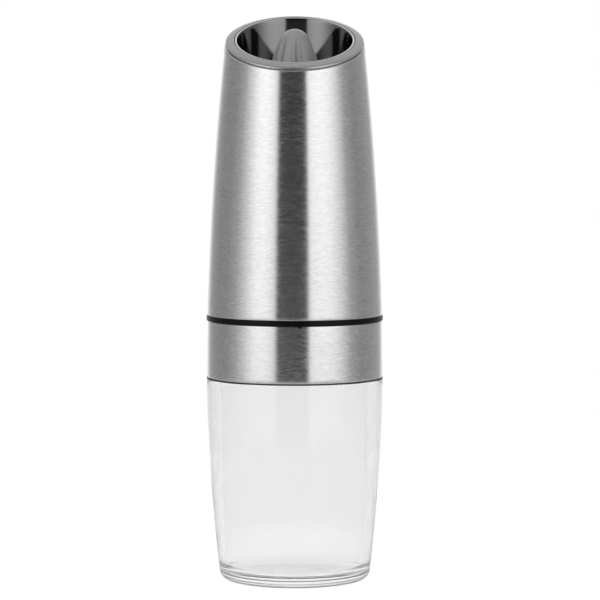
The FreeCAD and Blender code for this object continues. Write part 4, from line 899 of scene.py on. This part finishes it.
def cell_jacket(tree, shader):
    """A plain two-tone jacket: charcoal, with silver ends and a silver ring near each."""
    low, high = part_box("battery_cells")
    place = add(tree, "SeparateXYZ", {0: add(tree, "TexCoord").outputs["Object"]})
    ramp = add(tree, "ValToRGB", {0: derive(tree, "MapRange", {0: place.outputs["Z"], 1: low.z, 2: high.z})})
    ramp.color_ramp.interpolation = "CONSTANT"
    charcoal, silver = (0.03, 0.032, 0.036, 1.0), (0.5, 0.52, 0.55, 1.0)
    ends = ramp.color_ramp.elements
    ends[0].color = ends[1].color = silver
    ends[1].position = 0.955
    for position, tone in ((0.045, charcoal), (0.13, silver), (0.15, charcoal), (0.85, silver),
                           (0.87, charcoal)):
        ends.new(position).color = tone
    grain = placed(tree, moulded_grain)
    feed(tree, shader, {"Base Color": ramp.outputs[0], "Metallic": 0.6, "Normal": grain["Normal"],
                        "Roughness": between(tree, grain["Patches"], 0.26, 0.36)})


SPECIAL = {finish.__name__: finish for finish in (shell_steel, rim_satin, liner_mirror, cup_clear, knob_grey,
                                                  seam_black, board_green, cell_jacket)}


# Plain finishes, as tone, roughness, the grain's scale and depth, and how far the tone varies
PLASTICS = {
    "gasket_black": ((0.014, 0.014, 0.015), 0.55, 1800.0, 0.2, 0.08),
    "frame_black": ((0.022, 0.022, 0.024), 0.42, 2600.0, 0.3, 0.08),
    "housing_grey": ((0.075, 0.077, 0.08), 0.38, 2600.0, 0.25, 0.08),
    "burr_ceramic": ((0.78, 0.76, 0.71), 0.5, 3200.0, 0.35, 0.04),
    "magnet_dark": ((0.025, 0.025, 0.028), 0.5, 3000.0, 0.3, 0.08),
    "gear_white": ((0.74, 0.74, 0.7), 0.35, 2400.0, 0.1, 0.04),
    "gear_grey": ((0.15, 0.155, 0.165), 0.4, 2800.0, 0.2, 0.08),
    "bell_plastic": ((0.7, 0.68, 0.58), 0.4, 2400.0, 0.15, 0.04),
    "damper_foam": ((0.02, 0.02, 0.022), 0.85, 900.0, 0.9, 0.25),
    "wire_red": ((0.42, 0.02, 0.015), 0.35, 2000.0, 0.08, 0.08),
    "component_dark": ((0.02, 0.02, 0.021), 0.3, 3000.0, 0.15, 0.08),
}
METALS = {
    "spring_steel": ((0.55, 0.55, 0.57), 0.25, 3000.0, 0.1, 0.1),
    "screw_steel": ((0.42, 0.42, 0.44), 0.3, 2400.0, 0.15, 0.1),
    "motor_steel": ((0.5, 0.5, 0.52), 0.33, 1200.0, 0.08, 0.1),
    "brass_part": ((0.65, 0.44, 0.16), 0.28, 1800.0, 0.1, 0.1),
    "nickel_sheet": ((0.62, 0.6, 0.55), 0.26, 1500.0, 0.1, 0.1),
}
# Lined finishes, as dark and pale tone, least and most roughness, the lines' two densities and their depth
LINED = {
    "machined_steel": ((0.42, 0.42, 0.43), (0.58, 0.58, 0.59), 0.2, 0.34, 60.0, 6000.0, 0.15),
    "lamination": ((0.1, 0.1, 0.11), (0.26, 0.26, 0.27), 0.35, 0.5, 1.0, 9000.0, 0.6),
    "copper": ((0.4, 0.13, 0.05), (0.75, 0.33, 0.15), 0.22, 0.34, 900.0, 3000.0, 0.8),
}


def finish_for(slot):
    """The material of a slot, made when it is first asked for."""
    name = slot + "_finish"
    if name in bpy.data.materials:
        return bpy.data.materials[name]
    material = bpy.data.materials.new(name)
    tree = emptied_tree(material)
    shader = add(tree, "BsdfPrincipled")
    add(tree, "OutputMaterial", {"Surface": shader.outputs[0]})
    if slot in SPECIAL:
        SPECIAL[slot](tree, shader)
    elif slot in PLASTICS:
        moulded_plastic(tree, shader, *PLASTICS[slot])
    elif slot in METALS:
        plain_metal(tree, shader, *METALS[slot])
    else:
        brushed_metal(tree, shader, *LINED[slot])
    return material


# Parts carried over from the frame

def dress(names):
    """Gives the frame's own parts their finish."""
    for name in names:
        slots = frame["nodes"][name].data.materials
        slots.clear()
        slots.append(finish_for(slot_of[name]))


class MILL_OT_chassis(bpy.types.Operator):
    """Finishes the socket, the frame and what holds the sleeve"""
    bl_idname = "mill.chassis"
    bl_label = "Chassis"

    def execute(self, context):
        dress(["cup_socket", "core_frame", "sleeve_oring", "frame_screws"])
        return {"FINISHED"}


class MILL_OT_power(bpy.types.Operator):
    """Finishes the cells, their contacts and leads, and the tilt switch's board"""
    bl_idname = "mill.power"
    bl_label = "Cells and Board"

    def execute(self, context):
        dress(["battery_cells", "battery_springs", "lower_contacts", "upper_contacts", "power_leads",
               "motor_leads", "control_board", "board_components", "tilt_switch_can", "tilt_ball"])
        return {"FINISHED"}


class MILL_OT_motor(bpy.types.Operator):
    """Finishes the motor"""
    bl_idname = "mill.motor"
    bl_label = "Motor"

    def execute(self, context):
        dress([name for name in frame["nodes"] if name.startswith("motor_") and name != "motor_leads"])
        return {"FINISHED"}


class MILL_OT_gears(bpy.types.Operator):
    """Finishes the two planetary stages and the drive shaft"""
    bl_idname = "mill.gears"
    bl_label = "Gears"

    def execute(self, context):
        dress([name for name in frame["nodes"] if name.startswith(("planet_", "carrier_", "sun_gear_"))])
        dress(["gearbox_plate", "ring_gear", "gearbox_cover", "gearbox_screws", "output_bush", "drive_shaft"])
        return {"FINISHED"}


def bending_spring():
    """The burr's spring, copied from the frame's node with its doubled points merged, as a piece of its own.
    """
    spring = bmesh.new()
    spring.from_mesh(frame["nodes"]["burr_spring"].data)
    bmesh.ops.remove_doubles(spring, verts=spring.verts, dist=MERGED)
    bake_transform(new_piece(spring, "bending_spring", "burr_spring"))


class MILL_OT_grinder(bpy.types.Operator):
    """Finishes the burrs, their housing and the knob's insert"""
    bl_idname = "mill.grinder"
    bl_label = "Grinder"

    def execute(self, context):
        dress(["rotor_burr", "rotor_hub", "stator_burr", "grinder_housing",
               "stator_retainer", "housing_screws", "knob_insert"])
        bending_spring()
        return {"FINISHED"}


# Studio

def grey(value):
    return (value, value, value, 1.0)


def studio_stops(studio, box, flag):
    """Directions in degrees from the camera's side, and the brightness of the room there."""
    side, back = studio.side, studio.back
    return ((-180.0, back), (-166.0, back), (-145.0, side * 1.3), (-122.0, side * 0.95), (-100.0, side),
            (-84.0, side * 1.45), (-70.0, box * 0.6), (-55.0, box * 0.95), (-44.0, box), (-34.0, box * 0.9),
            (-27.0, box * 0.75), (-22.5, flag), (13.0, flag), (16.5, flag * 1.5), (20.5, box * 0.9),
            (40.0, box * 0.98), (52.0, box * 0.9), (66.0, box * 0.64), (80.0, side * 1.4),
            (98.0, side * 0.95), (120.0, side * 1.1), (146.0, side * 1.4), (166.0, back), (180.0, back))


def around_studio(tree, turn, stops):
    """The stops' brightness by direction, as a share of BRIGHTEST."""
    ramp = add(tree, "ValToRGB", {0: derive(tree, "MapRange", {0: turn, 1: -math.pi, 2: math.pi})})
    elements = ramp.color_ramp.elements
    tones = [(0.5 + angle / 360.0, grey(value / BRIGHTEST)) for angle, value in stops]
    for element, (position, tone) in zip(elements, (tones[0], tones[-1])):
        element.position, element.color = position, tone
    for position, tone in tones[1:-1]:
        elements.new(position).color = tone
    return ramp.outputs[0]


def between_heights(tree, upward, low, high):
    """0 at one elevation in degrees and under it, 1 at the other and over it."""
    return derive(tree, "MapRange", {0: upward, 1: math.sin(math.radians(low)),
                                     2: math.sin(math.radians(high))})


def seen_directly(tree):
    """1 where the camera looks, straight or through the clear cup, also after mirroring in its walls."""
    rays = add(tree, "LightPath").outputs
    through = derive(tree, "Math", {0: rays["Transmission Depth"], 1: 0.5}, operation="GREATER_THAN")
    return derive(tree, "Math", {0: rays["Is Camera Ray"], 1: through}, operation="MAXIMUM")


def studio_world(studio):
    """Two tall soft boxes beside a dark front, grey sides, a white back and a grey ceiling.

    The camera gets plain white, and so does what is seen through the clear cup.
    """
    world = bpy.data.worlds.new("studio")
    bpy.context.scene.world = world
    tree = emptied_tree(world)
    way = add(tree, "SeparateXYZ", {0: add(tree, "TexCoord").outputs["Generated"]}).outputs
    front = derive(tree, "Math", {0: way["Y"], 1: -1.0}, operation="MULTIPLY")
    turn = derive(tree, "Math", {0: way["X"], 1: front}, operation="ARCTAN2")
    # Near the table the soft boxes are dimmer and the front is paler than higher up
    level_tone = around_studio(tree, turn, studio_stops(studio, studio.box * 0.82, studio.flag))
    raised_tone = around_studio(tree, turn, studio_stops(studio, studio.box, studio.flag * 0.1))
    wall = derive(tree, "MixRGB", {0: between_heights(tree, way["Z"], 0, 12), 1: level_tone, 2: raised_tone})
    ceiling = derive(tree, "MixRGB", {0: between_heights(tree, way["Z"], 30, 68),
                                      1: grey(studio.ceiling_edge / BRIGHTEST),
                                      2: grey(studio.ceiling / BRIGHTEST)})
    around = derive(tree, "MixRGB", {0: between_heights(tree, way["Z"], 26, 50), 1: wall, 2: ceiling})
    room = derive(tree, "Background", {"Color": around, "Strength": BRIGHTEST})
    white = derive(tree, "Background", {"Color": grey(1.0), "Strength": 1.0})
    shown = derive(tree, "MixShader", {0: seen_directly(tree), 1: room, 2: white})
    add(tree, "OutputWorld", {"Surface": shown})


def hidden_lamp(name, kind, power, place, aim):
    """A lamp that neither the camera nor any mirroring metal shows."""
    data = bpy.data.lights.new(name, kind)
    data.energy = power
    lamp = bpy.data.objects.new(name, data)
    lamp.location = place
    lamp.rotation_euler = (Vector(place) - Vector(aim)).to_track_quat("Z", "Y").to_euler()
    lamp.visible_camera = False
    lamp.visible_glossy = False
    bpy.context.scene.collection.objects.link(lamp)
    return data


def overhead_lamp(power):
    """A wide soft lamp above the mill."""
    lamp = hidden_lamp("overhead_lamp", "AREA", power, OVERHEAD_PLACE, (0.0, 0.0, 0.0))
    lamp.shape = "DISK"
    lamp.size = OVERHEAD_WIDTH


def mouth_lamp(power):
    """A narrow lamp over the camera that brings out the knob's flutes."""
    lamp = hidden_lamp("mouth_lamp", "SPOT", power, MOUTH_LAMP_PLACE, MOUTH_LAMP_AIM)
    lamp.spot_size = MOUTH_LAMP_CONE
    lamp.spot_blend = 0.3
    lamp.shadow_soft_size = MOUTH_LAMP_RADIUS


def floor_material():
    """A white table with the mill's faint shadow, a little darker where it is seen through the cup."""
    material = bpy.data.materials.new("table_finish")
    tree = emptied_tree(material)
    matte = derive(tree, "BsdfDiffuse", {"Color": grey(0.8)})
    faint = derive(tree, "BsdfDiffuse", {"Color": grey(0.2)})
    straight = add(tree, "LightPath").outputs["Is Camera Ray"]
    glow = derive(tree, "Emission", {"Color": grey(1.0), "Strength": between(tree, straight, 0.84, 0.93)})
    white = derive(tree, "AddShader", {0: faint, 1: glow})
    shown = derive(tree, "MixShader", {0: seen_directly(tree), 1: matte, 2: white})
    add(tree, "OutputMaterial", {"Surface": shown})
    return material


def lay_table():
    """A square table under the mill, which isn't part of it."""
    shape = bmesh.new()
    bmesh.ops.create_grid(shape, x_segments=1, y_segments=1, size=TABLE)
    mesh = bpy.data.meshes.new("table")
    shape.to_mesh(mesh)
    shape.free()
    mesh.materials.append(floor_material())
    table = bpy.data.objects.new("table", mesh)
    bpy.context.scene.collection.objects.link(table)


def place_camera(studio):
    """A long lens in front of the mill that looks slightly down."""
    data = bpy.data.cameras.new("camera")
    data.lens = studio.lens
    data.sensor_width = SENSOR_WIDTH
    data.clip_end = VIEW_DEPTH
    camera = bpy.data.objects.new("camera", data)
    camera.location = (studio.camera_side, -studio.camera_distance, studio.camera_height)
    camera.rotation_euler = (math.pi / 2 - studio.camera_pitch, 0.0, 0.0)
    bpy.context.scene.collection.objects.link(camera)
    bpy.context.scene.camera = camera


class MILL_OT_stage(bpy.types.Operator):
    """Sets up the table, lamps, background and camera"""
    bl_idname = "mill.stage"
    bl_label = "Studio"

    def execute(self, context):
        studio = context.scene.mill_studio
        context.scene.view_settings.view_transform = "Standard"
        studio_world(studio)
        lay_table()
        overhead_lamp(studio.top_lamp)
        mouth_lamp(studio.mouth_lamp)
        place_camera(studio)
        return {"FINISHED"}


OPERATORS = (MILL_OT_cup, MILL_OT_seal, MILL_OT_band, MILL_OT_ring, MILL_OT_sleeve, MILL_OT_rim,
             MILL_OT_liner, MILL_OT_knob, MILL_OT_chassis, MILL_OT_power, MILL_OT_motor, MILL_OT_gears,
             MILL_OT_grinder, MILL_OT_stage)
SETTINGS = {"mill_sleeve": SleeveSizes, "mill_rim": RimSizes, "mill_cup": CupSizes,
            "mill_knob": KnobSizes, "mill_finish": Finishes, "mill_studio": Studio}


class MILL_PT_panel(bpy.types.Panel):
    """Buttons and settings of the pepper mill"""
    bl_idname = "MILL_PT_panel"
    bl_label = "Pepper Mill"
    bl_space_type = "VIEW_3D"
    bl_region_type = "UI"
    bl_category = "Pepper Mill"

    def draw(self, context):
        for operator in OPERATORS:
            self.layout.operator(operator.bl_idname)
        for name in SETTINGS:
            group = getattr(context.scene, name)
            box = self.layout.box()
            for setting in group.__annotations__:
                box.prop(group, setting)


def register():
    for name, group in SETTINGS.items():
        bpy.utils.register_class(group)
        setattr(bpy.types.Scene, name, bpy.props.PointerProperty(type=group))
    for made in OPERATORS + (MILL_PT_panel,):
        bpy.utils.register_class(made)


def unregister():
    for made in (MILL_PT_panel,) + OPERATORS[::-1]:
        bpy.utils.unregister_class(made)
    for name, group in SETTINGS.items():
        delattr(bpy.types.Scene, name)
        bpy.utils.unregister_class(group)


def main():
    register()
    for operator in OPERATORS:
        group, name = operator.bl_idname.split(".")
        getattr(getattr(bpy.ops, group), name)()


if __name__ == "__main__":
    main()
